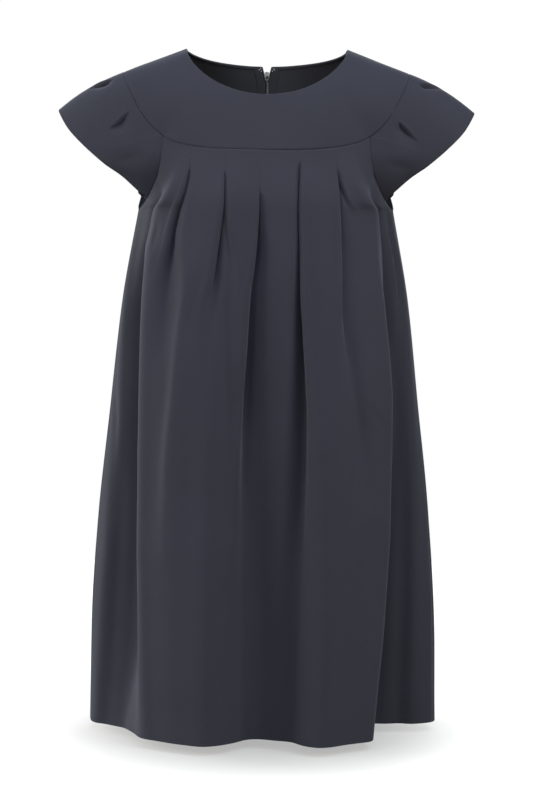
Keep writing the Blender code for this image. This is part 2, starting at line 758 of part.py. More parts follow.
def box(name, size, place, home):
    """A box of the given size, in millimetres, centred on a place in its own frame."""
    mesh_maker = bmesh.new()
    bmesh.ops.create_cube(mesh_maker, size=1.0)
    fit = Matrix.Translation(Vector(place)) @ Matrix.Diagonal((*size, 1.0))
    bmesh.ops.transform(mesh_maker, matrix=fit, verts=mesh_maker.verts)
    bmesh.ops.scale(mesh_maker, vec=(MM, MM, MM), verts=mesh_maker.verts)
    mesh = bpy.data.meshes.new(name)
    mesh_maker.to_mesh(mesh)
    mesh_maker.free()
    made = bpy.data.objects.new(name, mesh)
    home.objects.link(made)
    return made


def cut_or_join(target, tool, operation):
    """Adds a Boolean of the tool to the target, and hides the tool."""
    change = target.modifiers.new(operation.lower(), "BOOLEAN")
    change.operation = operation
    change.object = tool
    tool.hide_render = True
    tool.display_type = "WIRE"


def make_cloth(home, cloth, back_cloth):
    """The yoke, the front panel, the two backs and the two sleeves."""
    flat, side_seam, turned = (
        gap / MM / 2.0 for gap in (SEAM_GAP, SIDE_SEAM_GAP, TURNED_SEAM_GAP)
    )
    yoke = pulled_back(yoke_grid()[::-1], left=turned, right=turned, low=flat)
    sheet("front_yoke", yoke, CLOTH, cloth, home)
    panel = pulled_back(panel_grid(), left=side_seam, right=side_seam, high=flat)
    sheet("front_panel", panel, CLOTH, cloth, home)
    left_back = pulled_back(back_grid(1.0), left=side_seam, right=flat, high=turned)
    sheet("back_left", split_open(left_back, 1.0), CLOTH, back_cloth, home)
    right_back = pulled_back(back_grid(-1.0), left=flat, right=side_seam, high=turned)
    sheet("back_right", split_open(right_back, -1.0), CLOTH, back_cloth, home)
    for name, side in (("sleeve_left", 1.0), ("sleeve_right", -1.0)):
        sheet(name, pulled_back(sleeve_grid(side), low=turned), CLOTH, cloth, home)


def make_zip(home, cutters, tape_finish, metal):
    """The tapes and chain on the inside of the back, the slider and its pull tab."""
    gap = CHAIN_WIDTH / 2.0 + CHAIN_CLEAR
    for name, side in (("zip_tape_left", 1.0), ("zip_tape_right", -1.0)):
        strip = strip_on_back(side, gap, gap + TAPE_WIDTH, ZIP_TOP, ZIP_LENGTH, ZIP_ROWS)
        sheet(name, split_open(strip, side), TAPE_THICK * MM, tape_finish, home)
    half = CHAIN_WIDTH / 2.0
    chain = strip_on_back(1.0, half, -half, CHAIN_TOP, ZIP_LENGTH, ZIP_ROWS)
    sheet("zip_chain", chain, CHAIN_THICK * MM, metal, home)
    frame = slider_frame()
    slider = make_slider(home, cutters)
    slider.data.materials.append(metal)
    slider.matrix_world = frame
    for tool in slider.modifiers:
        tool.object.matrix_world = frame
    tab = make_tab(home, cutters)
    tab.data.materials.append(metal)
    turned = frame @ Matrix.Translation(tab_pivot() * MM) @ Matrix.Rotation(TAB_LEAN, 4, "X")
    tab.matrix_world = turned
    for tool in tab.modifiers:
        tool.object.matrix_world = turned


def slider_frame():
    """The slider's own frame on the centre back: +X across, +Y up the zip, +Z outwards."""
    here, down = centre_back(SLIDER_AT)
    across = Vector((-1.0, 0.0, 0.0))
    up = -down
    out = across.cross(up)
    turn = Matrix((across, up, out)).transposed().to_4x4()
    return Matrix.Translation(here * MM) @ turn


def tab_pivot():
    """The middle of the tab's bar, in the slider's frame, in millimetres."""
    level = OUTER_PLATE_LEVEL + OUTER_PLATE[2] + BAIL_CLEAR / 2.0
    return Vector((0.0, -TAB_DROP, level))


def make_slider(home, cutters):
    """The slider's plates, post and bail, joined into one piece."""
    inner = box("zip_slider", INNER_PLATE, (0.0, 0.0, INNER_PLATE_LEVEL + INNER_PLATE[2] / 2.0), home)
    for vertex in inner.data.vertices:
        if vertex.co.y < 0.0:
            vertex.co.x *= INNER_PLATE_FOOT
    post_low = INNER_PLATE_LEVEL + INNER_PLATE[2] - JOINED
    post_high = OUTER_PLATE_LEVEL + JOINED
    plate_top = OUTER_PLATE_LEVEL + OUTER_PLATE[2]
    foot_high = plate_top + BAIL_CLEAR + JOINED
    foot_size = (BAIL_WIDTH, BAIL_THICK, foot_high - plate_top + JOINED)
    foot_at = (BAIL_LENGTH - BAIL_THICK) / 2.0
    foot_level = (foot_high + plate_top - JOINED) / 2.0
    bar_level = plate_top + BAIL_CLEAR + BAIL_THICK / 2.0
    pieces = [
        ("post", (*POST, post_high - post_low), (0.0, 0.0, (post_low + post_high) / 2.0)),
        ("outer_plate", OUTER_PLATE, (0.0, 0.0, OUTER_PLATE_LEVEL + OUTER_PLATE[2] / 2.0)),
        ("bail_foot_low", foot_size, (0.0, -foot_at, foot_level)),
        ("bail_foot_high", foot_size, (0.0, foot_at, foot_level)),
        ("bail_bar", (BAIL_WIDTH, BAIL_LENGTH, BAIL_THICK), (0.0, 0.0, bar_level)),
    ]
    for name, size, place in pieces:
        cut_or_join(inner, box(name, size, place, cutters), "UNION")
    return inner


def make_tab(home, cutters):
    """The pull tab: a plate with an eye, whose top bar is on its own X axis."""
    middle = (TAB_BAR - TAB[1]) / 2.0
    tab = box("zip_pull", TAB, (0.0, middle, 0.0), home)
    eye_middle = -(TAB_BAR + TAB_EYE[1]) / 2.0
    eye = box("tab_eye", (*TAB_EYE, TAB[2] * 3.0), (0.0, eye_middle, 0.0), cutters)
    cut_or_join(tab, eye, "DIFFERENCE")
    return tab


def main():
    """Makes the dress in its own collection, and its cutters in another."""
    clear_scene()
    home = bpy.data.collections.new("shift_dress")
    bpy.context.scene.collection.children.link(home)
    cutters = bpy.data.collections.new("cutters")
    bpy.context.scene.collection.children.link(cutters)
    cloth = material("cloth", *CLOTH_FINISH)
    back_cloth = material("back_cloth", *BACK_CLOTH_FINISH)
    tape_finish = material("zip_tape", *TAPE_FINISH)
    metal = material("zip_metal", *METAL_FINISH, metallic=1.0)
    make_cloth(home, cloth, back_cloth)
    make_zip(home, cutters, tape_finish, metal)


main()
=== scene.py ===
import math

import bmesh
import bpy
import numpy as np
from mathutils import Matrix, Vector, noise


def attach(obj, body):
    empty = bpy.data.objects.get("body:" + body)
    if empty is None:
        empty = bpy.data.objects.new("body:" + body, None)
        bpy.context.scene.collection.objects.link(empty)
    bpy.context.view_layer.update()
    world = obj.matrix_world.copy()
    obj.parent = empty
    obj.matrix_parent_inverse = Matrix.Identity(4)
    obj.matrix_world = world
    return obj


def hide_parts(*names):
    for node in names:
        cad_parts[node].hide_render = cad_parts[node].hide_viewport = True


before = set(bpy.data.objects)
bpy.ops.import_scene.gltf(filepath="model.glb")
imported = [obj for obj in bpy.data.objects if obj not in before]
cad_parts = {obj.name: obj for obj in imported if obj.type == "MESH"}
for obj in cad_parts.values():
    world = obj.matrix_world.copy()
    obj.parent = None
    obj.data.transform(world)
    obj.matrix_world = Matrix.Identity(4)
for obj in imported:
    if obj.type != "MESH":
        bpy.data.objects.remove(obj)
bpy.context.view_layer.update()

bl_info = {
    "name": "Shift dress",
    "version": (1, 0, 0),
    "blender": (4, 5, 0),
    "location": "3D Viewport > Sidebar > Dress",
    "description": "Builds a round-yoked shift dress with released tucks, cap sleeves and a back zip",
    "category": "Add Mesh",
}

MM = 0.001

# ---------------------------------------------------------------- the cut, in millimetres
# The origin is midway between the neck points, +Z is up and the front faces -Y.

CHEST = -205.0
HEM = -870.0
NECK_HALF_WIDTH = 102.8
NECK_FRONT = (61.0, -66.0)
NECK_BACK = (17.5, 74.0)
NECK_DROP_POWER = 1.3
NECK_REACH_POWER = 0.8
NECK_KNOTS = 9
SHOULDER_TIP = (182.0, 0.0, -30.0)

YOKE_SEAM = [
    (0.0, -92.0, -131.0), (35.0, -91.0, -130.6), (67.0, -87.0, -129.4),
    (94.0, -79.0, -126.0), (114.0, -70.0, -121.0), (130.0, -61.0, -113.5),
]
YOKE_SIDE = [
    (146.0, -56.5, -100.0), (161.0, -50.0, -79.5), (174.5, -38.0, -52.5),
    (180.5, -23.0, -38.0), (182.0, -11.5, -32.0),
]
ARMHOLE_FRONT = [
    (131.5, -62.0, -138.0), (136.5, -56.0, -161.0), (145.5, -40.0, -182.5), (156.0, -14.0, -198.0),
]
ARMHOLE_BACK = [
    (165.5, 38.0, -199.0), (161.0, 57.0, -178.0), (154.0, 64.0, -146.0), (156.0, 61.0, -112.0),
    (164.0, 52.0, -80.0), (173.0, 39.0, -55.0), (179.5, 24.0, -39.5), (182.0, 12.0, -32.3),
]
SECTION = ("height", "middle", "lobe_across", "lobe", "side_across", "side", "hip", "back")
SECTIONS = [
    (-205.0, -114.0, 60.0, -116.0, 164.0, 12.0, 70.0, 103.0),
    (-320.0, -124.0, 66.0, -130.0, 184.0, 12.0, 76.0, 108.0),
    (-450.0, -121.0, 72.0, -138.0, 198.0, 12.0, 80.0, 112.0),
    (-600.0, -114.0, 76.0, -143.0, 213.5, 12.0, 84.0, 118.0),
    (-740.0, -110.0, 76.0, -147.0, 222.0, 12.0, 88.0, 124.0),
    (-870.0, -108.0, 74.0, -150.0, 224.0, 12.0, 94.0, 130.0),
]
TURN = ("height", "edge_across", "edge", "root_across", "root")
TURN_LEFT = [
    (-205.0, 137.5, -76.0, 147.0, -38.0), (-230.0, 141.0, -79.0, 150.0, -39.0),
    (-262.0, 148.5, -82.0, 152.0, -40.0), (-320.0, 153.5, -86.0, 152.0, -42.0),
    (-450.0, 157.0, -92.0, 151.0, -42.0), (-600.0, 158.0, -95.0, 152.0, -42.0),
    (-740.0, 156.0, -99.0, 156.0, -44.0), (-870.0, 152.0, -102.0, 171.0, -54.0),
]
TURN_RIGHT = [
    (-205.0, 136.5, -76.0, 147.0, -38.0), (-262.0, 140.5, -81.0, 149.0, -39.0),
    (-320.0, 148.0, -86.0, 150.0, -40.0), (-450.0, 160.0, -92.0, 153.0, -40.0),
    (-600.0, 159.0, -96.0, 148.0, -34.0), (-740.0, 151.0, -102.0, 140.0, -26.0),
    (-870.0, 139.0, -108.0, 138.0, -16.0),
]
CHEEK_BACK = 14.0
CHEEK_IN = 17.0
HIP_SHARE = 0.90
BLADE_SHARE = 0.56
BLADE_LOSS = 0.05
EDGE_REACH = 0.55
SLEEVE_EDGE = [
    (158.0, -33.0, -186.0), (182.0, -44.0, -164.5), (204.0, -47.0, -149.0), (232.0, -41.0, -124.5),
    (252.0, -28.0, -103.5), (266.5, 2.0, -79.5), (250.0, 40.0, -103.0), (226.0, 60.0, -128.0),
    (198.0, 68.0, -152.0), (174.0, 64.0, -172.0),
]
SLEEVE_TIP_KNOT = 5
YOKE_MIDDLE_WAY = (0.0, -0.36, -1.0)
YOKE_BULGE = (0.0, -0.32, 0.10)
PANEL_TOP_WAY = (0.0, -0.30, -1.0)
BACK_NECK_WAY = (0.0, 0.26, -1.0)
BACK_SHOULDER_WAY = (0.0, 1.0, -0.02)
SLEEVE_CROWN = (0.10, 0.0, 0.16)
SLEEVE_FLARE = (0.0, -0.16, 0.0)
FLARE_REACH = 0.34
SPLIT_DEPTH = 20.0
SPLIT_HALF_WIDTH = 5.6
SPLIT_REACH = 4.0
SPLIT_MOST = 1.2
CHEST_STEP = 12.0
ARMHOLE_SPREAD = (0.45, 1.3)
BACK_TOP_SPREAD = (0.65, 1.7)
FOLD_SHARE = 21.0 / 27.0
# soft waves of each piece: their share of the unevenness, their size in millimetres and their seed
PANEL_WAVES = (1.0, 75.0, 11.0)
PANEL_RIPPLES = (0.25, 16.0, 5.0)
YOKE_WAVES = (0.5, 70.0, 3.0)
BACK_WAVES = (1.4, 80.0, 21.0)
SLEEVE_WAVES = (0.8, 45.0, 31.0)
# the share of the panel's rows that lie below the sleeves, and how much its seam turns in above
SLEEVE_BESIDE = 0.76
SLEEVE_TURN = 0.14
# stitches: the gaps between them and how far they stand out of the cloth, in shares of their width
HEM_GAP = 0.9
HEM_SINK = -0.25
STEM_STITCH, STEM_GAP, STEM_SINK = 1.7, 0.8, 0.2
# how far from an upright seam the cloth's two sides keep their drawn form, so that they meet
SEAM_CALM = 14.0
# where the cloth beside the armhole's foot is eased: its height, its reach and how many times, and
# how many columns it takes to fade out
ARMHOLE_FOOT = (-204.0, 26.0, 18)
FOOT_COLUMNS = 16
NECK_SHARE = 9.0 / 16.0
SLEEVE_LOW_SHARE = 5.0 / 7.0
SLEEVE_BACK_SHARE = 8.0 / 11.0

# the zip
ZIP_TOP = 2.5
ZIP_LENGTH = 450.0
TAPE_WIDTH = 11.0
CHAIN_WIDTH = 2.6
CHAIN_TOP = 20.5
CHAIN_CLEAR = 0.4
SLIDER_AT = 11.5
SLIDER_STEP = 6.0
OUTER_PLATE_LEVEL = 0.4
OUTER_PLATE_THICK = 0.9
BAIL_CLEAR = 2.4
TAB_DROP = 1.0
TAB_LEAN = math.radians(-8.5)

TAPE_ROWS = 150
TAPE_CLEAR = 0.9
# a tape's section: the share of its width and how far it stands proud
TAPE_SHAPE = (
    (0.0, 0.0), (0.03, 0.25), (0.10, 0.30), (0.16, 0.05), (0.35, 0.10), (0.60, 0.30), (0.85, 0.60),
    (0.97, 0.68), (1.0, 0.70),
)
TOOTH_PITCH = 1.25
TOOTH_SHIFT = 0.28
# half a tooth's size across, along and out
TOOTH = (CHAIN_WIDTH / 2.0 + 0.1, 0.52, 0.55)
# each tack: across from the centre edge, down from the top, and its level inside the cloth
TACKS = ((2.6, 1.2, 2.7), (4.8, 2.4, 2.6), (2.2, 4.2, 2.0), (5.0, 5.6, 1.4))
# the slider's plates: size, place, width at the foot as a share, and corner radius
SLIDER_PLATES = (
    ((8.0, 9.6, 1.0), (0.0, -1.2, -3.0), 0.52, 1.8),
    ((2.6, 5.0, 0.9), (0.0, -0.4, -3.6), 0.5, 0.7),
    ((2.2, 4.4, 3.8), (0.0, 0.0, -1.1), 1.0, 0.6),
    ((6.4, 9.6, 0.9), (0.0, 0.0, 0.85), 0.72, 1.6),
)
# the tab's edges and its eye's edges across and along, and its thickness
TAB_ACROSS = (-2.7, -1.5, 1.5, 2.7)
TAB_ALONG = (-21.55, -5.95, -0.45, 0.45)
TAB_THICK = 0.9

# ---------------------------------------------------------------- folds
# Each fold is a line down the cloth.  A row gives the height, the place across, how deep the cloth
# is drawn in, how wide its left and right sides are, how far the cloth beside it stands proud on
# the left and on the right, and how far it leans over the line from the left and from the right.
# A row leaves its last columns out where they are 0.

# the power of a narrow fold's section, and how much is added for a wide one's rounder floor
SHARP_FOLD = 1.35
ROUNDER = 0.60
# the columns of a row read from behind, where left and right change places
FROM_BEHIND = [0, 1, 2, 4, 3, 6, 5, 8, 7]
BEHIND_SIGNS = (1.0, -1.0, 1.0, 1.0, 1.0, 1.0, 1.0, 1.0, 1.0)
FOLD = ("height", "at", "depth", "left", "right", "left_lip", "right_lip", "left_lean", "right_lean")
FRONT_FOLDS = {
    "tuck_1": (
        (-118, -90, 0, 1.2, 1.2), (-152, -95.2, 0.6, 1.2, 1.4, 0.1, 0.1),
        (-162, -98, 4, 1.6, 3.5, 1.2, 0.4, 1.6), (-190, -106, 7.5, 1.8, 5.5, 2, 0.8, 3.4),
        (-218, -115, 9, 2, 7.5, 2.2, 1.6, 3.8), (-244, -119.5, 8.5, 2.6, 8.5, 2, 2.2, 3.2),
        (-272, -121.5, 5, 4.5, 9.5, 1, 2.2, 1), (-306, -122.5, 1.6, 8, 10, 0.4, 1.4),
        (-350, -124, 0, 10, 12), (-870, -127, 0, 10, 12),
    ),
    "tuck_2": (
        (-118, -51, 0, 1.2, 1.2), (-155, -51.4, 0.6, 1.2, 1.4, 0.1, 0.1),
        (-166, -51.8, 3.6, 1.6, 2.4, 1.2, 0.8, 1.4), (-198, -53.2, 7, 2, 4, 1.8, 0.8, 3.2),
        (-235, -57.6, 8, 2.2, 6, 2, 0.6, 3.6), (-287, -64.2, 6.5, 2.8, 9, 1.8, 0.5, 2.6),
        (-325, -68.7, 3.6, 5, 12, 0.8, 0.5, 0.6), (-420, -72, 1, 9, 14, 0.2, 0.2), (-870, -76, 0, 10, 14),
    ),
    "tuck_3": (
        (-124, -8, 0, 1.2, 1.2), (-180, -7.7, 0.6, 1.2, 1.4, 0.1, 0.1),
        (-192, -8, 3.6, 1.6, 3.6, 1.4, 0.6, 1.6), (-221, -10, 8, 1.9, 6.5, 2.2, 0.6, 3.6),
        (-266, -13.2, 13, 2.2, 12, 2.6, 0.4, 4.4), (-312, -18, 14.5, 2.8, 14, 2.8, 0, 4.2),
        (-384, -20.6, 17, 3.2, 14, 2.6, 0, 3.4), (-440, -22, 17.5, 4.2, 15, 2.4, 0, 2.4),
        (-510, -21.5, 15, 7, 16, 1.8, 0, 0.8), (-589, -18, 11.5, 12, 16, 1.2),
        (-700, -15, 9.5, 16, 17, 0.8), (-870, -13, 6.5, 18, 18, 0.4),
    ),
    "tuck_4": (
        (-122, 41.3, 0, 1.2, 1.2), (-145, 41.5, 0.6, 1.2, 1.4, 0.1, 0.1),
        (-156, 41.8, 5, 2.4, 1.8, 0.8, 1.4, 0, 1.6), (-200, 42.2, 11, 3.2, 2, 1, 2.2, 0, 3.8),
        (-260, 44, 17, 4.5, 2.2, 1, 2.8, 0, 4.6), (-305, 44, 19.5, 6, 2.8, 0.8, 3, 0, 4.4),
        (-362, 44, 22, 8, 5, 0.4, 2.8, 0, 3.4), (-439, 43.5, 24, 10, 8.5, 0, 2.4, 0, 1.4),
        (-502, 42.5, 21, 12, 11.5, 0, 2, 0, 0.4), (-589, 39.5, 16.5, 14, 14, 0, 1.6),
        (-688, 35, 11.5, 16, 17, 0, 1.2), (-870, 32, 7, 17, 18, 0, 0.8),
    ),
    "tuck_5": (
        (-118, 87.6, 0, 1.2, 1.2), (-153, 88.6, 0.6, 1.2, 1.4, 0.1, 0.1),
        (-163, 89.8, 3.4, 1.6, 2.4, 1.2, 0.6, 1.2), (-180, 91.6, 5, 2, 3.4, 1.8, 0.6, 2.4),
        (-220, 93.6, 6.5, 2.4, 7, 2, 0.4, 3), (-264, 95.4, 7.5, 2.8, 11, 2.2, 0.2, 3),
        (-322, 97.8, 8, 3.6, 13, 2, 0, 2.2), (-354, 101.5, 7.5, 6, 11, 1.4, 0.4, 0.8),
        (-428, 114, 5.5, 10, 9, 0.8, 0.8), (-502, 122, 4, 13, 10, 0.4, 0.6), (-580, 122, 0, 14, 14),
        (-870, 110, 0, 16, 20),
    ),
    "branch_2": (
        (-188, -52.4, 0, 2, 2), (-212, -50, 4, 2.4, 1.8, 0.3, 1.2, 0, 1.6),
        (-243, -45.5, 4.6, 3.6, 2, 0.2, 1.4, 0, 2), (-275, -42, 3.4, 8, 4, 0.2, 1.2, 0, 0.6),
        (-350, -44, 4.6, 10, 6.5, 0.3, 1.4), (-430, -45.5, 4, 12, 8, 0.2, 1.2),
        (-510, -47, 2.2, 13, 11, 0.2, 0.8), (-600, -50, 0, 14, 14),
    ),
    "branch_5": (
        (-168, 91.6, 0, 2, 2), (-178, 95, 3.2, 3, 1.8, 0.2, 1, 0, 1.4),
        (-192, 100, 2.8, 4, 2, 0.2, 1, 0, 1.2), (-206, 105, 1.2, 5, 4, 0.1, 0.4, 0, 0.2),
        (-232, 111, 0, 8, 6),
    ),
    "left_ridge": (
        (-255, -93, 0, 8, 12), (-300, -97, -3.6, 8, 13), (-354, -104, -5.2, 8.5, 15),
        (-428, -110, -5.6, 9.5, 18), (-520, -118, -4.4, 11, 22), (-660, -124, 0, 12, 24),
    ),
    "left_recess": (
        (-232, -116, 0, 9, 9), (-280, -118.5, 4.2, 12, 11, 0.6, 0.4), (-330, -123, 4, 12, 12, 0.6, 0.4),
        (-400, -128, 0, 12, 12),
    ),
    "left_hollow": (
        (-214, -57, 0, 8, 8), (-280, -60, 3.4, 10, 10, 0.4, 0.3), (-345, -62, 3, 12, 12, 0.3, 0.2),
        (-430, -62, 0, 12, 12),
    ),
    "left_soft": (
        (-420, -88, 0, 10, 12), (-520, -90, 2.4, 14, 16, 0.3, 0.4), (-700, -96, 3.2, 18, 20, 0.3, 0.5),
        (-870, -94, 2.4, 20, 22, 0, 0.4),
    ),
    "right_soft": (
        (-420, 112, 0, 12, 10), (-500, 113, 2.2, 16, 12, 0.3, 0.4), (-640, 110, 3.4, 18, 15, 0.4, 0.6),
        (-870, 102, 2.6, 22, 18, 0.3, 0.4),
    ),
    "left_edge_dent": (
        (-210, -133, 0, 3, 5), (-240, -138, 1.6, 3, 5, 0.4, 0.4), (-262, -143, 0, 3, 5),
    ),
    "right_diagonal": (
        (-448, 131, 0, 5, 4), (-462, 141, 1.4, 6, 4, 0.4, 0.6), (-478, 151, 0, 7, 5),
    ),
}
BACK_FOLDS = {
    "left_blade": (
        (-210, -60, 0, 12, 12), (-380, -68, 6, 16, 12, 1.6, 1.2), (-560, -76, 9, 20, 15, 2, 1.6),
        (-870, -86, 8, 26, 20, 1.6, 1.2),
    ),
    "right_blade": (
        (-225, 58, 0, 12, 12), (-400, 66, 5, 13, 17, 1.2, 1.6), (-600, 76, 9, 16, 21, 1.6, 2),
        (-870, 82, 8, 21, 26, 1.2, 1.6),
    ),
    "left_hip": (
        (-320, -122, 0, 12, 12), (-480, -134, 5, 14, 17, 1, 1.4), (-680, -144, 8, 16, 22, 1.2, 1.6),
        (-870, -150, 8, 20, 25, 1.2, 1.4),
    ),
    "right_hip": (
        (-345, 124, 0, 12, 12), (-520, 134, 6, 18, 13, 1.4, 1), (-700, 142, 8, 21, 17, 1.6, 1.2),
        (-870, 146, 7, 24, 20, 1.4, 1.2),
    ),
    "middle_soft": (
        (-420, 6, 0, 14, 16), (-620, 3, 4, 18, 20, 0.6, 0.8), (-870, -2, 6, 22, 24, 1, 1),
    ),
}
# the part of each tuck that stays sewn shut, from its height at the yoke down
TUCK_STEMS = {"tuck_1": -158.0, "tuck_2": -160.0, "tuck_3": -184.0, "tuck_4": -149.0, "tuck_5": -158.0}

# folds of the flanks, whose places are shares from the long fold's edge to the side seam
LEFT_FLANK_FOLDS = {
    "edge_valley": (
        (-156, 1, 0, 3, 3), (-168, 0.9, 1.6, 4, 4, 0, 0.2), (-179, 0.62, 3.6, 6, 6),
        (-192, 0.42, 6.5, 7, 6.5), (-210, 0.32, 11, 8, 7, 0, 0.2), (-232, 0.34, 14, 8, 6.5, 0.2, 1, 0, 0.6),
        (-262, 0.45, 13, 8, 6, 0.4, 2, 0, 1.4), (-354, 0.57, 11.5, 10, 8, 0.6, 1.8, 0, 1.4),
        (-450, 0.53, 10, 12, 8, 0.6, 1.8, 0, 1.4), (-620, 0.5, 9, 14, 12, 0.4, 1.6, 0, 1),
        (-740, 0.5, 7.5, 16, 14, 0.4, 1.2, 0, 0.6), (-870, 0.52, 4.5, 16, 12, 0.4, 0.8),
    ),
    "lobe": (
        (-215, 0.78, 0, 9, 9), (-270, 0.78, -4, 11, 10), (-354, 0.78, -7, 12, 12), (-450, 0.75, -7, 13, 14),
        (-620, 0.8, -6, 14, 16), (-870, 0.82, -4, 16, 18),
    ),
    "flank_1": (
        (-430, 0.88, 0, 5, 6), (-480, 0.82, 3, 4, 7, 0.8, 0.3), (-540, 0.79, 2.6, 6, 8, 0.6, 0.3),
        (-640, 0.77, 0, 8, 9),
    ),
    "flank_2": (
        (-230, 0.72, 0, 6, 6), (-330, 0.74, 2.4, 7, 8, 0.4, 0.4), (-520, 0.7, 2.4, 8, 9, 0.3, 0.3),
        (-870, 0.72, 3.4, 11, 12, 0.4, 0.4),
    ),
}
RIGHT_FLANK_FOLDS = {
    "edge_valley": (
        (-156, 1, 0, 3, 3), (-168, 0.9, 1.6, 4, 4, 0.2), (-179, 0.6, 3.6, 6, 6), (-192, 0.4, 6.5, 6.5, 7),
        (-210, 0.31, 11, 7, 8, 0.2), (-232, 0.34, 14, 6.5, 8, 1, 0.2, 0.6),
        (-262, 0.44, 14.5, 5.5, 8, 1.8, 0.6, 1.4), (-330, 0.54, 11, 7, 9, 1.6, 0.6, 1.2),
        (-450, 0.62, 6.5, 8, 12, 1.6, 0.3, 1), (-620, 0.52, 11, 9, 16, 1.6, 0.3, 1),
        (-740, 0.48, 13, 9, 18, 1.4, 0.2, 0.8), (-870, 0.48, 10, 9, 20, 1, 0.2),
    ),
    "lobe": (
        (-215, 0.76, 0, 9, 9), (-270, 0.78, -3, 10, 11), (-450, 0.8, -6, 12, 13), (-740, 0.8, -6, 16, 15),
        (-870, 0.8, -3, 18, 16),
    ),
    "flank_3": (
        (-206, 0.6, 0, 3, 4), (-240, 0.68, 4.4, 2.6, 4, 1.4, 0.6, 0.8),
        (-290, 0.74, 5, 3, 6, 1.6, 0.6, 0.8), (-350, 0.74, 3.6, 4, 8, 1, 0.4), (-440, 0.7, 0, 8, 10),
    ),
    "flank_4": (
        (-440, 0.74, 0, 6, 6), (-600, 0.72, 3, 8, 7, 0.5, 0.5), (-870, 0.74, 3.6, 11, 10, 0.5, 0.5),
    ),
}

# tucks and soft folds of a sleeve: the share round the armhole and the share from seam to edge where
# a fold starts and ends, its depth, and its widths towards the front and the back in millimetres
SLEEVE_FOLD = ("start", "start_out", "stop", "stop_out", "depth", "front", "back", "lip", "lean", "peak")
LEFT_SLEEVE_FOLDS = {
    "front_tuck": (0.330, 0.08, 0.284, 0.56, 5.4, 10.0, 1.3, 1.6, 2.4, 0.58),
    "top_tuck": (0.456, 0.14, 0.486, 0.56, 6.0, 8.0, 1.4, 2.0, 2.4, 0.35),
    "rear_tuck": (0.570, 0.10, 0.560, 0.58, 4.0, 1.4, 7.0, 1.2, 2.0, 0.30),
    "back_tuck": (0.735, 0.10, 0.775, 0.62, 5.0, 1.4, 8.0, 1.4, 2.4, 0.35),
    "under_soft": (0.175, 0.20, 0.165, 0.98, 2.0, 10.0, 8.0, 0.4, 0.0, 0.50),
}
RIGHT_SLEEVE_FOLDS = {
    "front_tuck": (0.296, 0.14, 0.240, 0.64, 5.4, 10.0, 1.3, 1.6, 2.4, 0.18),
    "top_tuck": (0.436, 0.12, 0.496, 0.50, 6.0, 8.0, 1.4, 2.0, 2.4, 0.30),
    "rear_tuck": (0.565, 0.10, 0.580, 0.58, 4.0, 1.4, 7.0, 1.2, 2.0, 0.30),
    "back_tuck": (0.730, 0.10, 0.765, 0.62, 5.0, 1.4, 8.0, 1.4, 2.4, 0.40),
    "under_soft": (0.150, 0.20, 0.140, 0.98, 2.2, 10.0, 8.0, 0.4, 0.0, 0.50),
}
# how far a sleeve's tuck reaches into the finer columns beside it, and how much finer they are
TUCK_MARGIN = 0.022
TUCK_FINER = 4

# ---------------------------------------------------------------- how finely the cloth is divided

ARMHOLE_ROWS = (32, 16)
BODY_ROWS = 142
LEFT_COLUMNS = (("tuck_3", 10), ("tuck_2", 22), ("tuck_1", 24), ("edge", 18), ("side", 34))
RIGHT_COLUMNS = (("tuck_4", 20), ("tuck_5", 24), ("edge", 28), ("side", 34))
YOKE_ROWS = 30
YOKE_SIDE_COLUMNS = 40
BACK_TOP_ROWS = (48, 16)
BACK_NECK_COLUMNS = 46
BACK_SHOULDER_COLUMNS = 40
SLEEVE_ROWS = 42
RING_SAMPLES = 360


# ---------------------------------------------------------------- settings

class DressSizes(bpy.types.PropertyGroup):
    """Sizes of the cloth, its seams and its sewing."""

    thickness: bpy.props.FloatProperty(
        name="Cloth thickness", description="How thick the cloth is", default=0.001,
        min=0.0004, max=0.0025, subtype="DISTANCE", unit="LENGTH",
    )
    seam_depth: bpy.props.FloatProperty(
        name="Seam depth", description="How deep the cloth turns in at a seam", default=0.0009,
        min=0.0, max=0.004, subtype="DISTANCE", unit="LENGTH",
    )
    seam_width: bpy.props.FloatProperty(
        name="Seam width", description="How far from a seam its groove reaches", default=0.0009,
        min=0.0005, max=0.006, subtype="DISTANCE", unit="LENGTH",
    )
    hem_reach: bpy.props.FloatProperty(
        name="Hem reach", description="How far the turned hem reaches up inside", default=0.011,
        min=0.004, max=0.03, subtype="DISTANCE", unit="LENGTH",
    )
    fold_strength: bpy.props.FloatProperty(
        name="Fold strength", description="Scale of all the folds", default=1.0, min=0.0, max=1.5,
    )
    unevenness: bpy.props.FloatProperty(
        name="Unevenness", description="Height of the cloth's soft waves", default=0.0007,
        min=0.0, max=0.003, subtype="DISTANCE", unit="LENGTH",
    )
    allowance: bpy.props.FloatProperty(
        name="Seam allowance", description="How far the cloth's edge is turned inside at a seam",
        default=0.0024, min=0.001, max=0.006, subtype="DISTANCE", unit="LENGTH",
    )
    stitch: bpy.props.FloatProperty(
        name="Stitch length", description="Length of one stitch", default=0.0024,
        min=0.001, max=0.005, subtype="DISTANCE", unit="LENGTH",
    )
    thread: bpy.props.FloatProperty(
        name="Thread width", description="Width of the sewing thread", default=0.00045,
        min=0.0002, max=0.001, subtype="DISTANCE", unit="LENGTH",
    )


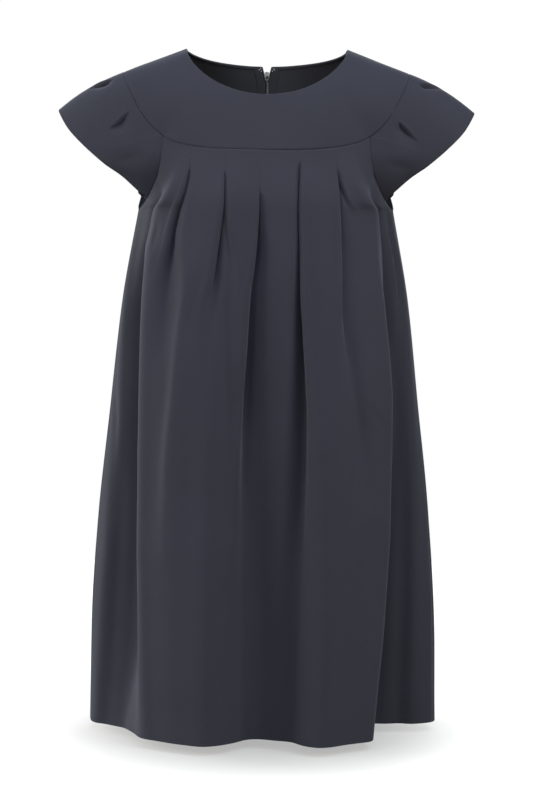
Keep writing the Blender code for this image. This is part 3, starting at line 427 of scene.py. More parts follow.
class DressColours(bpy.types.PropertyGroup):
    """Colours of the cloth, the threads and the zip."""

    cloth: bpy.props.FloatVectorProperty(
        name="Cloth", description="The cloth's outer face", default=(0.0292, 0.0305, 0.0460),
        min=0.0, max=1.0, size=3, subtype="COLOR",
    )
    # painted light: the back is the same cloth as the front, given a lighter colour so that its inside,
    # seen through the neck, looks lit
    back_cloth: bpy.props.FloatVectorProperty(
        name="Back cloth", description="The cloth of the back", default=(0.0400, 0.0415, 0.0530),
        min=0.0, max=1.0, size=3, subtype="COLOR",
    )
    thread: bpy.props.FloatVectorProperty(
        name="Thread", description="The sewing thread", default=(0.014, 0.015, 0.021),
        min=0.0, max=1.0, size=3, subtype="COLOR",
    )
    tack: bpy.props.FloatVectorProperty(
        name="Tack thread", description="The loose thread at the zip's top", default=(0.62, 0.62, 0.63),
        min=0.0, max=1.0, size=3, subtype="COLOR",
    )
    # the tape's own navy, lifted to the back cloth's lighter tone: partly painted light inside the neck
    tape: bpy.props.FloatVectorProperty(
        name="Zip tape", description="The zip's woven tape", default=(0.038, 0.0395, 0.0505),
        min=0.0, max=1.0, size=3, subtype="COLOR",
    )
    metal: bpy.props.FloatVectorProperty(
        name="Zip metal", description="The slider, the tab and the teeth", default=(0.44, 0.44, 0.45),
        min=0.0, max=1.0, size=3, subtype="COLOR",
    )


class DressStage(bpy.types.PropertyGroup):
    """The floor, the light and the camera."""

    floor: bpy.props.FloatVectorProperty(
        name="Floor", description="The floor's colour", default=(0.22, 0.22, 0.22),
        min=0.0, max=1.0, size=3, subtype="COLOR",
    )
    light: bpy.props.FloatProperty(
        name="Light", description="Scale of all the soft lights", default=1.0, min=0.0, max=10.0,
    )
    fill: bpy.props.FloatProperty(
        name="Fill", description="Strength of the even light from all round", default=0.05,
        min=0.0, max=1.0,
    )
    # the floor's painted glow below the dress and far off, seen only by the camera
    white: bpy.props.FloatVectorProperty(
        name="White", description="How much the floor is lifted towards white below the dress and far off",
        default=(0.43, 1.0), min=0.0, max=1.0, size=2,
    )
    distance: bpy.props.FloatProperty(
        name="Camera distance", description="From the camera to the dress", default=3.0,
        min=0.5, max=20.0, subtype="DISTANCE", unit="LENGTH",
    )
    elevation: bpy.props.FloatProperty(
        name="Camera elevation", description="How far the camera looks down", default=math.radians(4.0),
        min=-1.5, max=1.5, subtype="ANGLE", unit="ROTATION",
    )
    roll: bpy.props.FloatProperty(
        name="Camera roll", description="How far the picture is turned", default=math.radians(0.45),
        min=-0.2, max=0.2, subtype="ANGLE", unit="ROTATION",
    )


def sizes():
    return bpy.context.scene.dress_sizes


def colours():
    return bpy.context.scene.dress_colours


# ---------------------------------------------------------------- curves and rows

class Curve:
    """A smooth open curve through a few knots, read by its length or between two knots."""

    STEPS = 40

    def __init__(self, knots):
        knots = np.array(knots, float)
        first = 2.0 * knots[0] - knots[1]
        last = 2.0 * knots[-1] - knots[-2]
        padded = np.vstack([first, knots, last])
        shares = np.linspace(0.0, 1.0, self.STEPS, endpoint=False)
        pieces = [self.span(padded[i:i + 4], shares) for i in range(len(knots) - 1)]
        self.points = np.vstack(pieces + [knots[-1:]])
        steps = np.linalg.norm(np.diff(self.points, axis=0), axis=1)
        self.along = np.concatenate([[0.0], np.cumsum(steps)])
        self.length = self.along[-1]

    @staticmethod
    def span(four, shares):
        """One stretch of a centripetal Catmull-Rom curve, by repeated linear mixing."""
        gaps = np.sqrt(np.linalg.norm(np.diff(four, axis=0), axis=1))
        t0, t1, t2, t3 = np.concatenate([[0.0], np.cumsum(gaps)])
        t = (t1 + (t2 - t1) * shares)[:, None]
        a = (t1 - t) / (t1 - t0) * four[0] + (t - t0) / (t1 - t0) * four[1]
        b = (t2 - t) / (t2 - t1) * four[1] + (t - t1) / (t2 - t1) * four[2]
        c = (t3 - t) / (t3 - t2) * four[2] + (t - t2) / (t3 - t2) * four[3]
        d = (t2 - t) / (t2 - t0) * a + (t - t0) / (t2 - t0) * b
        e = (t3 - t) / (t3 - t1) * b + (t - t1) / (t3 - t1) * c
        return (t2 - t) / (t2 - t1) * d + (t - t1) / (t2 - t1) * e

    def at(self, shares):
        """Points at the given shares of the whole length."""
        reach = np.clip(shares, 0.0, 1.0) * self.length
        return np.stack([np.interp(reach, self.along, axis) for axis in self.points.T], axis=-1)

    def between(self, start, stop, shares):
        """Points at the given shares of the length between two knots."""
        low = self.along[start * self.STEPS]
        high = self.along[stop * self.STEPS]
        return self.at((low + (high - low) * shares) / self.length)


def ease(value):
    """A smooth step from 0 to 1."""
    value = np.clip(value, 0.0, 1.0)
    return value * value * (3.0 - 2.0 * value)


def whole(names, table):
    """The rows of a table as an array, with 0 in the last columns that a row leaves out."""
    return np.array([(*row, *(0.0,) * (len(names) - len(row))) for row in table], float)


def read_rows(names, table, heights):
    """The columns of a table at many heights, eased from row to row without overshoot."""
    rows = whole(names, table)
    rows = rows[np.argsort(rows[:, 0])]
    marks = rows[:, 0]
    slopes = np.diff(rows, axis=0) / np.diff(marks)[:, None]
    with np.errstate(divide="ignore", invalid="ignore"):
        mean = 2.0 * slopes[:-1] * slopes[1:] / (slopes[:-1] + slopes[1:])
    inner = np.where(slopes[:-1] * slopes[1:] > 0.0, np.nan_to_num(mean), 0.0)
    tangents = np.vstack([slopes[:1], inner, slopes[-1:]])
    heights = np.asarray(heights, float)
    i = np.clip(np.searchsorted(marks, heights) - 1, 0, len(marks) - 2)
    gap = (marks[i + 1] - marks[i])[..., None]
    t = np.clip((heights - marks[i]) / gap[..., 0], 0.0, 1.0)[..., None]
    mixed = (
        rows[i] * (1.0 + 2.0 * t) * (1.0 - t) ** 2
        + tangents[i] * gap * t * (1.0 - t) ** 2
        + rows[i + 1] * t * t * (3.0 - 2.0 * t)
        + tangents[i + 1] * gap * t * t * (t - 1.0)
    )
    return {name: mixed[..., k] for k, name in enumerate(names)}


def crowd(count, start=0.0, stop=0.0, reach=0.22):
    """Shares from 0 to 1 in a number of steps that are shorter towards a crowded end."""
    middle = (np.arange(count) + 0.5) / count
    steps = (
        1.0 - start * np.exp(-((middle / reach) ** 2)) - stop * np.exp(-(((1.0 - middle) / reach) ** 2))
    )
    return np.concatenate([[0.0], np.cumsum(steps)]) / steps.sum()


def joined_shares(first, second, place):
    """Two runs of shares put end to end, the first one up to a place."""
    return np.concatenate([first * place, place + (1.0 - place) * second[1:]])


def spread(even, share, power):
    """Even shares moved together at their start."""
    return (1.0 - share) * even + share * even ** power


def mirrored(points):
    """The same points on the other side of the middle."""
    return np.array(points, float) * (-1.0, 1.0, 1.0)


def unit(vectors):
    """The vectors at a length of one."""
    return vectors / np.maximum(np.linalg.norm(vectors, axis=-1, keepdims=True), 1e-12)


# ---------------------------------------------------------------- the figure's form

def neckline(drop, reach):
    """Half of the neck's edge, from its middle to the neck point, as a curve."""
    angle = np.linspace(math.pi / 2.0, 0.0, NECK_KNOTS)
    sine = np.sin(angle)
    knots = np.stack(
        [
            NECK_HALF_WIDTH * np.cos(angle),
            reach * sine ** NECK_REACH_POWER,
            -drop * sine ** NECK_DROP_POWER,
        ],
        axis=-1,
    )
    return Curve(knots)


FRONT_KNOT, EDGE_KNOT, SIDE_KNOT, BACK_KNOT = 1, 4, 6, 9


def section_curve(height, turn_table, side):
    """Half a section, from the front's middle round the side to the back's middle, and past both."""
    row = {name: float(v) for name, v in read_rows(SECTION, SECTIONS, height).items()}
    turn = {name: float(v) for name, v in read_rows(TURN, turn_table, height).items()}
    wide = row["side_across"]
    flat = [
        (-row["lobe_across"], row["lobe"]),
        (0.0, row["middle"]),
        (row["lobe_across"], row["lobe"]),
        (turn["edge_across"] - CHEEK_IN, turn["edge"] - CHEEK_BACK),
        (turn["edge_across"], turn["edge"]),
        (turn["root_across"], turn["root"]),
        (wide, row["side"]),
        (wide * HIP_SHARE, row["hip"]),
        (wide * BLADE_SHARE, row["back"] - wide * BLADE_LOSS),
        (0.0, row["back"]),
        (-wide * BLADE_SHARE, row["back"] - wide * BLADE_LOSS),
    ]
    return Curve([(side * across, depth, height) for across, depth in flat])


def half_front_ring(height, turn_table, side, shares):
    """Points of half the front at one height, by shares that put the long fold at FOLD_SHARE."""
    curve = section_curve(height, turn_table, side)
    face = curve.between(FRONT_KNOT, EDGE_KNOT, np.clip(shares / FOLD_SHARE, 0.0, 1.0))
    flank_shares = np.clip((shares - FOLD_SHARE) / (1.0 - FOLD_SHARE), 0.0, 1.0)
    flank = curve.between(EDGE_KNOT, SIDE_KNOT, flank_shares)
    return np.where((shares <= FOLD_SHARE)[:, None], face, flank)


def half_back_ring(height, turn_table, side, shares):
    """Points of half the back at one height, from the centre back to the side seam."""
    return section_curve(height, turn_table, side).between(BACK_KNOT, SIDE_KNOT, shares)


def columns_down(top, foot, top_way, foot_way, shares):
    """Smooth columns from one row of points to another, leaving and arriving in given ways."""
    reach = np.linalg.norm(foot - top, axis=-1, keepdims=True)
    t = shares[:, None, None]
    return (
        top * (1.0 + 2.0 * t) * (1.0 - t) ** 2
        + top_way * reach * t * (1.0 - t) ** 2
        + foot * t * t * (3.0 - 2.0 * t)
        + foot_way * reach * t * t * (t - 1.0)
    )


def drawn_to_edge(grid, edge, shares):
    """The grid with its last column moved on to an edge curve, fading over the columns before."""
    weight = ease((shares - (1.0 - EDGE_REACH)) / EDGE_REACH)[None, :, None]
    return grid + weight * (edge - grid[:, -1])[:, None, :]


YOKE_EDGE = Curve(YOKE_SEAM + YOKE_SIDE + [SHOULDER_TIP])
YOKE_CORNER = len(YOKE_SEAM) - 1
YOKE_CORNER_SHARE = YOKE_EDGE.along[YOKE_CORNER * Curve.STEPS] / YOKE_EDGE.length
UNDERARM = (SECTIONS[0][4], SECTIONS[0][5], CHEST)


def armhole_rows():
    """Shares of the rows from the yoke seam down to the chest, with one at the sleeve's start."""
    return joined_shares(
        crowd(ARMHOLE_ROWS[0], start=0.75, reach=0.3), crowd(ARMHOLE_ROWS[1]), SLEEVE_LOW_SHARE
    )


def armhole_under_yoke():
    """The armhole from the yoke's corner down to the underarm."""
    return Curve([YOKE_SEAM[-1]] + ARMHOLE_FRONT + [UNDERARM]).at(armhole_rows())


def yoke_side_shares():
    """Shares of the yoke's round edge from its corner to the shoulder's outer point."""
    even = np.linspace(0.0, 1.0, YOKE_SIDE_COLUMNS + 1)
    return YOKE_CORNER_SHARE + (1.0 - YOKE_CORNER_SHARE) * (1.0 - (1.0 - even) ** 1.3)


def back_row_shares():
    """Shares of the back's rows above the chest, with one where the sleeve ends."""
    return joined_shares(
        crowd(BACK_TOP_ROWS[0], start=0.75, reach=0.2), crowd(BACK_TOP_ROWS[1]), SLEEVE_BACK_SHARE
    )


def armhole_at_back():
    """The armhole from the shoulder's outer point down the back to the underarm."""
    armhole = Curve([SHOULDER_TIP] + ARMHOLE_BACK[::-1] + [UNDERARM])
    return armhole.at(spread(back_row_shares(), *ARMHOLE_SPREAD))


def body_heights():
    """Heights of the level rows below the chest, closer together at the hem."""
    return CHEST + (HEM - CHEST) * crowd(BODY_ROWS, stop=0.72, reach=0.03)


# ---------------------------------------------------------------- work on a grid of points
# Rows run from the foot up and columns from left to right as seen from outside.

def outward(grid):
    """Unit normals of a grid of points, by the right-hand rule along its columns and rows."""
    return unit(np.cross(np.gradient(grid, axis=1), np.gradient(grid, axis=0)))


def reach_along(grid, axis):
    """The distance of each point from the grid's first point along its row or column."""
    steps = np.linalg.norm(np.diff(grid, axis=axis), axis=-1)
    start = np.zeros_like(np.take(steps, [0], axis=axis))
    return np.cumsum(np.concatenate([start, steps], axis=axis), axis=axis)


def folded(grid, tables, lines_of, strength):
    """The grid with folds pressed into it and their sides leant over them."""
    along = reach_along(grid, 1)
    normal = outward(grid)
    sideways = unit(np.gradient(grid, axis=1))
    inwards = np.zeros(grid.shape[:2])
    across = np.zeros(grid.shape[:2])
    for table in tables:
        heights, line = lines_of(grid, along, table)
        row = read_rows(FOLD, table, heights)
        live = strength * row["depth"]
        gap = along - line[:, None]
        left = gap < 0.0
        wide = np.where(left, row["left"][:, None], row["right"][:, None])
        far = np.abs(gap) / np.maximum(wide, 0.2)
        lip = np.where(left, row["left_lip"][:, None], row["right_lip"][:, None])
        lean = np.where(left, row["left_lean"][:, None], -row["right_lean"][:, None])
        inwards += live[:, None] * np.exp(-(far ** (SHARP_FOLD + ROUNDER * ease((wide - 5.0) / 5.0))))
        inwards -= strength * lip * np.exp(-(((far - 2.3) / 1.1) ** 2))
        across += strength * lean * np.exp(-(((far - 1.1) / 0.8) ** 2))
    return grid - normal * inwards[..., None] + sideways * across[..., None]


def lines_by_place(first, last):
    """Finds a fold whose places are distances from the middle, between two columns."""
    def find(grid, along, table):
        heights = grid[:, (first + last) // 2, 2]
        places = read_rows(FOLD, table, heights)["at"]
        line = [
            np.interp(place, row[first:last, 0], run[first:last])
            for place, row, run in zip(places, grid, along)
        ]
        near = [
            np.interp(place, row[first:last, 0], row[first:last, 2])
            for place, row in zip(places, grid)
        ]
        return np.array(near), np.array(line)
    return find


def soft_waves(grid, waves, side=0.0):
    """The grid with low uneven waves, as of cloth that isn't quite smooth, still at its sides."""
    share, size, seed = waves
    height = sizes().unevenness / MM * share
    places = (grid / size + (seed + side)).reshape(-1, 3)
    lift = np.array([noise.noise(Vector(place)) for place in places]).reshape(grid.shape[:2])
    gaps = border_gaps(grid)
    calm = 1.0 - np.exp(-((np.minimum(gaps["left"], gaps["right"]) / SEAM_CALM) ** 2))
    return grid + outward(grid) * (height * lift * calm)[..., None]


def border_gaps(grid):
    """The distance of each point from the left, right, low and high border along the sheet."""
    across = reach_along(grid, 1)
    up = reach_along(grid, 0)
    return {
        "left": across, "right": across[:, -1:] - across, "low": up, "high": up[-1:] - up,
    }


def seam_turned(grid, **borders):
    """The grid with named borders turned in to the depth of a seam."""
    gaps = border_gaps(grid)
    width = sizes().seam_width / MM
    depth = sizes().seam_depth / MM
    inwards = np.zeros(grid.shape[:2])
    for name, share in borders.items():
        inwards = np.maximum(inwards, share * depth * np.exp(-((gaps[name] / width) ** 2)))
    return grid - outward(grid) * inwards[..., None]


def allowed(grid, *borders):
    """The grid with one more row or column at each named border, turned inside as a seam's edge."""
    reach = sizes().allowance / MM
    for name in borders:
        axis = 1 if name in ("left", "right") else 0
        place = 0 if name in ("left", "low") else -1
        edge = np.take(grid - outward(grid) * reach, [place], axis=axis)
        parts = (edge, grid) if place == 0 else (grid, edge)
        grid = np.concatenate(parts, axis=axis)
    return grid


def beside(grid, distance):
    """Points and normals of a line at a distance above the grid's first row."""
    up = reach_along(grid, 0)
    normal = outward(grid)
    columns = range(grid.shape[1])

    def read(values):
        return np.array([
            [np.interp(distance, up[:, i], values[:, i, k]) for k in range(3)] for i in columns
        ])

    return read(grid), unit(read(normal))


def turned_under(grid, reach, radius):
    """The grid with its first row turned back inside it, as a hem."""
    normal = outward(grid)[0]
    step = grid[1] - grid[0]
    room = np.linalg.norm(step, axis=-1, keepdims=True)
    up = unit(step)
    edge = grid[0] + up * np.minimum(radius, room * 0.7)
    rows = []
    for share, level in ((1.0, 0.85), (0.86, 1.5), (0.6, 2.0), (0.3, 2.0)):
        place, way = beside(grid, reach * share + radius)
        rows.append(place - way * radius * level)
    for angle in np.radians((180.0, 150.0, 120.0, 90.0, 60.0, 30.0)):
        rows.append(edge - up * radius * math.sin(angle) - normal * radius * (1.0 - math.cos(angle)))
    rows.append(edge)
    return np.concatenate([np.array(rows), grid[1:]], axis=0)


# ---------------------------------------------------------------- the pieces' points

def panel_samples(side):
    """Half of the front panel on many even shares, from the top down."""
    turn_table = TURN_RIGHT if side > 0 else TURN_LEFT
    even = np.linspace(0.0, 1.0, RING_SAMPLES + 1)
    shares = np.unique(np.append(even, FOLD_SHARE))
    top = YOKE_EDGE.between(0, YOKE_CORNER, shares) * (side, 1.0, 1.0)
    chest = half_front_ring(CHEST, turn_table, side, shares)
    below = half_front_ring(CHEST - CHEST_STEP, turn_table, side, shares)
    top_way = unit(np.array(PANEL_TOP_WAY)) * np.ones_like(top)
    upper = columns_down(top, chest, top_way, unit(below - chest), armhole_rows())
    upper = drawn_to_edge(upper, armhole_under_yoke() * (side, 1.0, 1.0), shares)
    lower = [half_front_ring(height, turn_table, side, shares) for height in body_heights()]
    return shares, np.concatenate([upper[:-1], np.array(lower)], axis=0)


def column_shares(side):
    """The share of each column in each row of half a front, so that columns follow the tucks."""
    shares, samples = panel_samples(side)
    face = shares <= FOLD_SHARE
    marks = [np.zeros(len(samples))]
    runs = []
    for name, count in (RIGHT_COLUMNS if side > 0 else LEFT_COLUMNS):
        if name in FRONT_FOLDS:
            found = []
            for row in samples:
                places = read_rows(FOLD, FRONT_FOLDS[name], row[face, 2])["at"]
                found.append(np.interp(0.0, side * (row[face, 0] - places), shares[face]))
            mark = np.array(found)
        else:
            mark = np.full(len(samples), FOLD_SHARE if name == "edge" else 1.0)
        first = 0.0 if len(marks) == 1 else 0.8
        last = 0.45 if name == "side" else 0.8
        run = crowd(count, start=first, stop=last)
        start = marks[-1][:, None]
        runs.append(start + (mark[:, None] - start) * run[None, :-1])
        marks.append(mark)
    runs.append(np.ones((len(samples), 1)))
    return shares, samples, np.concatenate(runs, axis=1)


def half_panel(side):
    """Half of the front panel, from the centre front to the armhole and the side seam."""
    shares, samples, wanted = column_shares(side)
    return np.array([
        np.stack([np.interp(want, shares, axis) for axis in row.T], axis=-1)
        for want, row in zip(wanted, samples)
    ])


def top_shares(side):
    """The shares of the panel's columns at the yoke seam."""
    return column_shares(side)[2][0]


def flank_lines(first, last, flip):
    """Finds a fold of a flank, whose places are shares from the long fold's edge to the side."""
    def find(grid, along, table):
        heights = grid[:, (first + last) // 2, 2]
        places = read_rows(FOLD, table, heights)["at"]
        if flip:
            places = 1.0 - places
        return heights, along[:, first] + (along[:, last] - along[:, first]) * places
    return find


def settled(grid, first, last, edge, height, reach, rounds):
    """The grid with the columns between first and last eased up and down near a height."""
    columns = np.arange(grid.shape[1], dtype=float)
    near = 1.0 - ease((np.abs(columns - edge) - abs(first - edge)) / abs(last - first))
    near[[0, -1]] = 0.0
    near = near[None, :] * np.exp(-(((grid[..., 2] - height) / reach) ** 2))
    grid = grid.copy()
    for _ in range(rounds):
        middle = (grid[:-2] + grid[2:]) / 2.0
        grid[1:-1] += 0.5 * near[1:-1, :, None] * (middle - grid[1:-1])
    return grid


def panel_grid():
    """The whole front panel with its tucks and folds."""
    right = half_panel(1.0)
    left = half_panel(-1.0)[:, ::-1]
    grid = np.concatenate([left[:, :-1], right], axis=1)[::-1]
    strength = sizes().fold_strength
    columns = grid.shape[1]
    side_columns = LEFT_COLUMNS[-1][1]
    left_edge, right_edge = side_columns, columns - 1 - side_columns
    grid = folded(grid, FRONT_FOLDS.values(), lines_by_place(left_edge, right_edge), strength)
    flank = flank_lines(0, left_edge, True)
    grid = folded(grid, LEFT_FLANK_FOLDS.values(), flank, strength)
    flank = flank_lines(right_edge, columns - 1, False)
    grid = folded(grid, RIGHT_FLANK_FOLDS.values(), flank, strength)
    grid = settled(grid, left_edge, left_edge + FOOT_COLUMNS, 0, *ARMHOLE_FOOT)
    return settled(grid, right_edge, right_edge - FOOT_COLUMNS, columns - 1, *ARMHOLE_FOOT)


def half_yoke(shares_across):
    """Half of the yoke, from the centre front to the shoulder seam."""
    top = neckline(*NECK_FRONT).at(shares_across)
    foot = YOKE_EDGE.at(shares_across)
    turned = ease(shares_across)[:, None]
    seam_way = unit(np.array(SHOULDER_TIP) - (NECK_HALF_WIDTH, 0.0, 0.0))
    bulge = np.array(YOKE_BULGE) * np.sin(turned * math.pi)
    top_way = unit(np.array(YOKE_MIDDLE_WAY)) * (1.0 - turned) + seam_way * turned + bulge
    foot_way = unit(foot - top) - bulge
    rows = crowd(YOKE_ROWS, start=0.6, stop=0.75, reach=0.16)
    return columns_down(top, foot, top_way, foot_way, rows)


def yoke_grid():
    """The whole yoke, its first row at the neck and its columns from right to left."""
    halves = [
        half_yoke(np.concatenate([YOKE_CORNER_SHARE * top_shares(side)[:-1], yoke_side_shares()]))
        for side in (1.0, -1.0)
    ]
    return np.concatenate([halves[0][:, ::-1], mirrored(halves[1])[:, 1:]], axis=1)


def back_rows(side, shares):
    """One side of the back, from its top down and from the centre back outwards."""
    turn_table = TURN_RIGHT if side > 0 else TURN_LEFT
    neck = neckline(*NECK_BACK)
    shoulder = Curve([(NECK_HALF_WIDTH, 0.0, 0.0), SHOULDER_TIP])
    on_neck = neck.at(shares / NECK_SHARE)
    on_shoulder = shoulder.at((shares - NECK_SHARE) / (1.0 - NECK_SHARE))
    top = np.where((shares <= NECK_SHARE)[:, None], on_neck, on_shoulder) * (side, 1.0, 1.0)
    chest = half_back_ring(CHEST, turn_table, side, shares)
    below = half_back_ring(CHEST - CHEST_STEP, turn_table, side, shares)
    over = ease(shares / NECK_SHARE)[:, None]
    neck_way = unit(np.array(BACK_NECK_WAY))
    top_way = unit(neck_way * (1.0 - over) + np.array(BACK_SHOULDER_WAY) * over)
    down = spread(back_row_shares(), *BACK_TOP_SPREAD)
    upper = columns_down(top, chest, top_way, unit(below - chest), down)
    upper = drawn_to_edge(upper, armhole_at_back() * (side, 1.0, 1.0), shares)
    lower = [half_back_ring(height, turn_table, side, shares) for height in body_heights()]
    return np.concatenate([upper[:-1], np.array(lower)], axis=0)


def back_shares():
    """Shares of the back's columns, from the centre back to the armhole."""
    return joined_shares(
        crowd(BACK_NECK_COLUMNS, start=0.75), crowd(BACK_SHOULDER_COLUMNS, stop=0.6), NECK_SHARE
    )


def split_open(grid, side):
    """The back's sheet with its centre edge spread apart in a small V under the neck."""
    grid = grid.copy()
    foot = -NECK_BACK[0] - SPLIT_DEPTH
    share = np.clip((grid[..., 2] - foot) / SPLIT_DEPTH, 0.0, SPLIT_MOST)
    near = np.exp(-((grid[..., 0] / (SPLIT_REACH * SPLIT_HALF_WIDTH)) ** 2))
    grid[..., 0] += side * SPLIT_HALF_WIDTH * share * near
    return grid


def back_grid(side):
    """One side of the back with its soft folds, its columns from left to right as seen from behind."""
    grid = back_rows(side, back_shares())[::-1]
    if side > 0:
        grid = grid[:, ::-1]
    flipped = grid * (-1.0, 1.0, 1.0)
    tables = [whole(FOLD, table)[:, FROM_BEHIND] * BEHIND_SIGNS for table in BACK_FOLDS.values()]

    def find(grid, along, table):
        heights = grid[:, grid.shape[1] // 2, 2]
        places = read_rows(FOLD, table, heights)["at"]
        line = []
        for place, row, run in zip(places, flipped, along):
            over = max(place - row[-1, 0], 0.0) - max(row[0, 0] - place, 0.0)
            line.append(np.interp(place, row[:, 0], run) + over)
        return heights, np.array(line)

    return folded(grid, tables, find, sizes().fold_strength)


def sleeve_seam():
    """The sleeve's places on the armhole, from its start in front to its end at the back."""
    front = armhole_under_yoke()[ARMHOLE_ROWS[0]::-1]
    top = YOKE_EDGE.at(yoke_side_shares())
    back = armhole_at_back()[:BACK_TOP_ROWS[0] + 1]
    return np.vstack([front[:-1], top[:-1], back])


def finer_seam(seam, tables):
    """The sleeve's seam with more places where a tuck starts from it."""
    along = np.concatenate([[0.0], np.cumsum(np.linalg.norm(np.diff(seam, axis=0), axis=1))])
    tip = ARMHOLE_ROWS[0] + YOKE_SIDE_COLUMNS
    shares = np.interp(along, [0.0, along[tip], along[-1]], [0.0, 0.5, 1.0])
    places = [0.0]
    for i in range(len(seam) - 1):
        middle = (shares[i] + shares[i + 1]) / 2.0
        near = any(
            min(row[0], row[2]) - TUCK_MARGIN < middle < max(row[0], row[2]) + TUCK_MARGIN
            for name, row in tables.items() if name.endswith("tuck")
        )
        parts = TUCK_FINER if near else 1
        places.extend(i + (k + 1.0) / parts for k in range(parts))
    finer = np.stack([np.interp(places, np.arange(len(seam)), axis) for axis in seam.T], axis=-1)
    return finer, tip, places


def sleeve_grid(side):
    """One cap sleeve, its first row at its free edge, on the +X side or mirrored."""
    tables = LEFT_SLEEVE_FOLDS if side < 0 else RIGHT_SLEEVE_FOLDS
    top, tip, places = finer_seam(sleeve_seam(), tables)
    along = np.concatenate([[0.0], np.cumsum(np.linalg.norm(np.diff(top, axis=0), axis=1))])
    tip = np.interp(tip, places, along)
    front = np.clip(along / tip, 0.0, 1.0)
    back = np.clip((along - tip) / (along[-1] - tip), 0.0, 1.0)
    free = Curve(SLEEVE_EDGE)
    before = free.between(0, SLEEVE_TIP_KNOT, front)
    behind = free.between(SLEEVE_TIP_KNOT, len(SLEEVE_EDGE) - 1, back)
    foot = np.where((along <= tip)[:, None], before, behind)
    shares = (front + back) / 2.0
    chord = unit(foot - top)
    crown = np.array(SLEEVE_CROWN) * np.sin(shares * math.pi)[:, None]
    crown = crown + np.array(SLEEVE_FLARE) * ease(1.0 - shares / FLARE_REACH)[:, None]
    rows = crowd(SLEEVE_ROWS, start=0.7, stop=0.5, reach=0.14)
    grid = columns_down(top, foot, chord + crown, chord - crown, rows)
    run = reach_along(grid, 1)
    normal = -outward(grid)
    sideways = unit(np.gradient(grid, axis=1))
    inwards = np.zeros(grid.shape[:2])
    lean = np.zeros(grid.shape[:2])
    for row in tables.values():
        fold = dict(zip(SLEEVE_FOLD, row))
        out = (rows - fold["start_out"]) / (fold["stop_out"] - fold["start_out"])
        place = fold["start"] + (fold["stop"] - fold["start"]) * out
        line = np.array([np.interp(p, shares, r) for p, r in zip(place, run)])
        live = ease(out / fold["peak"]) * (1.0 - ease((out - fold["peak"]) / (1.0 - fold["peak"])))
        gap = run - line[:, None]
        ahead = gap < 0.0
        wide = np.where(ahead, fold["front"], fold["back"]) * (0.7 + 0.7 * np.clip(out, 0, 1))[:, None]
        far = np.abs(gap) / wide
        steep = 1.0 if fold["front"] < fold["back"] else -1.0
        inwards += fold["depth"] * live[:, None] * np.exp(-(far ** SHARP_FOLD))
        near = np.where(ahead == (steep > 0), 1.0, 0.3)
        inwards -= fold["lip"] * live[:, None] * near * np.exp(-(((far - 2.2) / 1.1) ** 2))
        lean += steep * fold["lean"] * live[:, None] * near * np.exp(-(((far - 1.1) / 0.8) ** 2))
    grid = grid - normal * inwards[..., None] + sideways * lean[..., None]
    grid = grid[::-1]
    if side < 0:
        return mirrored(grid)[:, ::-1]
    return grid


# ---------------------------------------------------------------- meshes

def in_scene(name, mesh):
    """An object of a mesh, in the scene."""
    made = bpy.data.objects.new(name, mesh)
    bpy.context.scene.collection.objects.link(made)
    return made


def finished_mesh(name, maker, finish):
    """A smooth mesh from a bmesh, with one material."""
    mesh = bpy.data.meshes.new(name)
    maker.to_mesh(mesh)
    maker.free()
    mesh.shade_smooth()
    mesh.materials.append(finish)
    return mesh


def grid_mesh(name, grid, finish):
    """A sheet laid on a grid of points in millimetres, with the cloth's own lengths as its UV map."""
    rows, columns = grid.shape[:2]
    maker = bmesh.new()
    bmesh.ops.create_grid(maker, x_segments=columns - 1, y_segments=rows - 1, size=1.0)
    maker.verts.ensure_lookup_table()
    for vertex, place in zip(maker.verts, grid.reshape(-1, 3) * MM):
        vertex.co = place
    across = reach_along(grid, 1)
    across = (across - across[:, columns // 2:columns // 2 + 1]) * MM
    up = reach_along(grid, 0) * MM
    places = np.stack([across, np.broadcast_to(up, across.shape)], axis=-1).reshape(-1, 2)
    layer = maker.loops.layers.uv.new("cloth")
    for face in maker.faces:
        for loop in face.loops:
            loop[layer].uv = places[loop.vert.index]
    return finished_mesh(name, maker, finish)


def cloth_piece(name, grid, finish, node, thickness):
    """A sheet of cloth with its thickness inwards, in the place of its CAD node."""
    piece = in_scene(name, grid_mesh(name, grid, finish))
    wall = piece.modifiers.new("thickness", "SOLIDIFY")
    wall.thickness = thickness
    wall.offset = -1.0
    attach(piece, "dress")
    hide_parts(node)
    return piece


def metal_piece(node, maker, tone, body="dress"):
    """A metal piece of the zip, in the place of its CAD node."""
    piece = in_scene("dress_" + node, finished_mesh("dress_" + node, maker, finish(tone)))
    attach(piece, body)
    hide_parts(node)


def bead(maker, across, along, out, place):
    """A small rounded bead, by its three half axes and its middle in millimetres."""
    rows = (np.stack([across, along, out, place], axis=1) * MM).tolist()
    bmesh.ops.create_uvsphere(
        maker, u_segments=6, v_segments=4, radius=1.0, matrix=Matrix([*rows, [0.0, 0.0, 0.0, 1.0]]),
    )


def stitch_run(maker, points, normals, length, gap, width, sink=0.25):
    """Stitches along a line that lies on the cloth, in millimetres."""
    steps = np.linalg.norm(np.diff(points, axis=0), axis=1)
    run = np.concatenate([[0.0], np.cumsum(steps)])
    count = max(int(run[-1] / (length + gap)), 1)
    starts = (np.arange(count) + 0.5) * (run[-1] / count)

    def read(values, places):
        return np.stack([np.interp(places, run, axis) for axis in values.T], axis=-1)

    middle = read(points, starts)
    ahead = unit(read(points, starts + length / 2.0) - read(points, starts - length / 2.0))
    out = unit(read(normals, starts))
    for place, way, up in zip(middle, ahead, out):
        side = np.cross(up, way)
        place = place + up * width * sink
        bead(maker, way * length / 2.0, side * width / 2.0, up * width / 2.0, place)


# ---------------------------------------------------------------- finishes

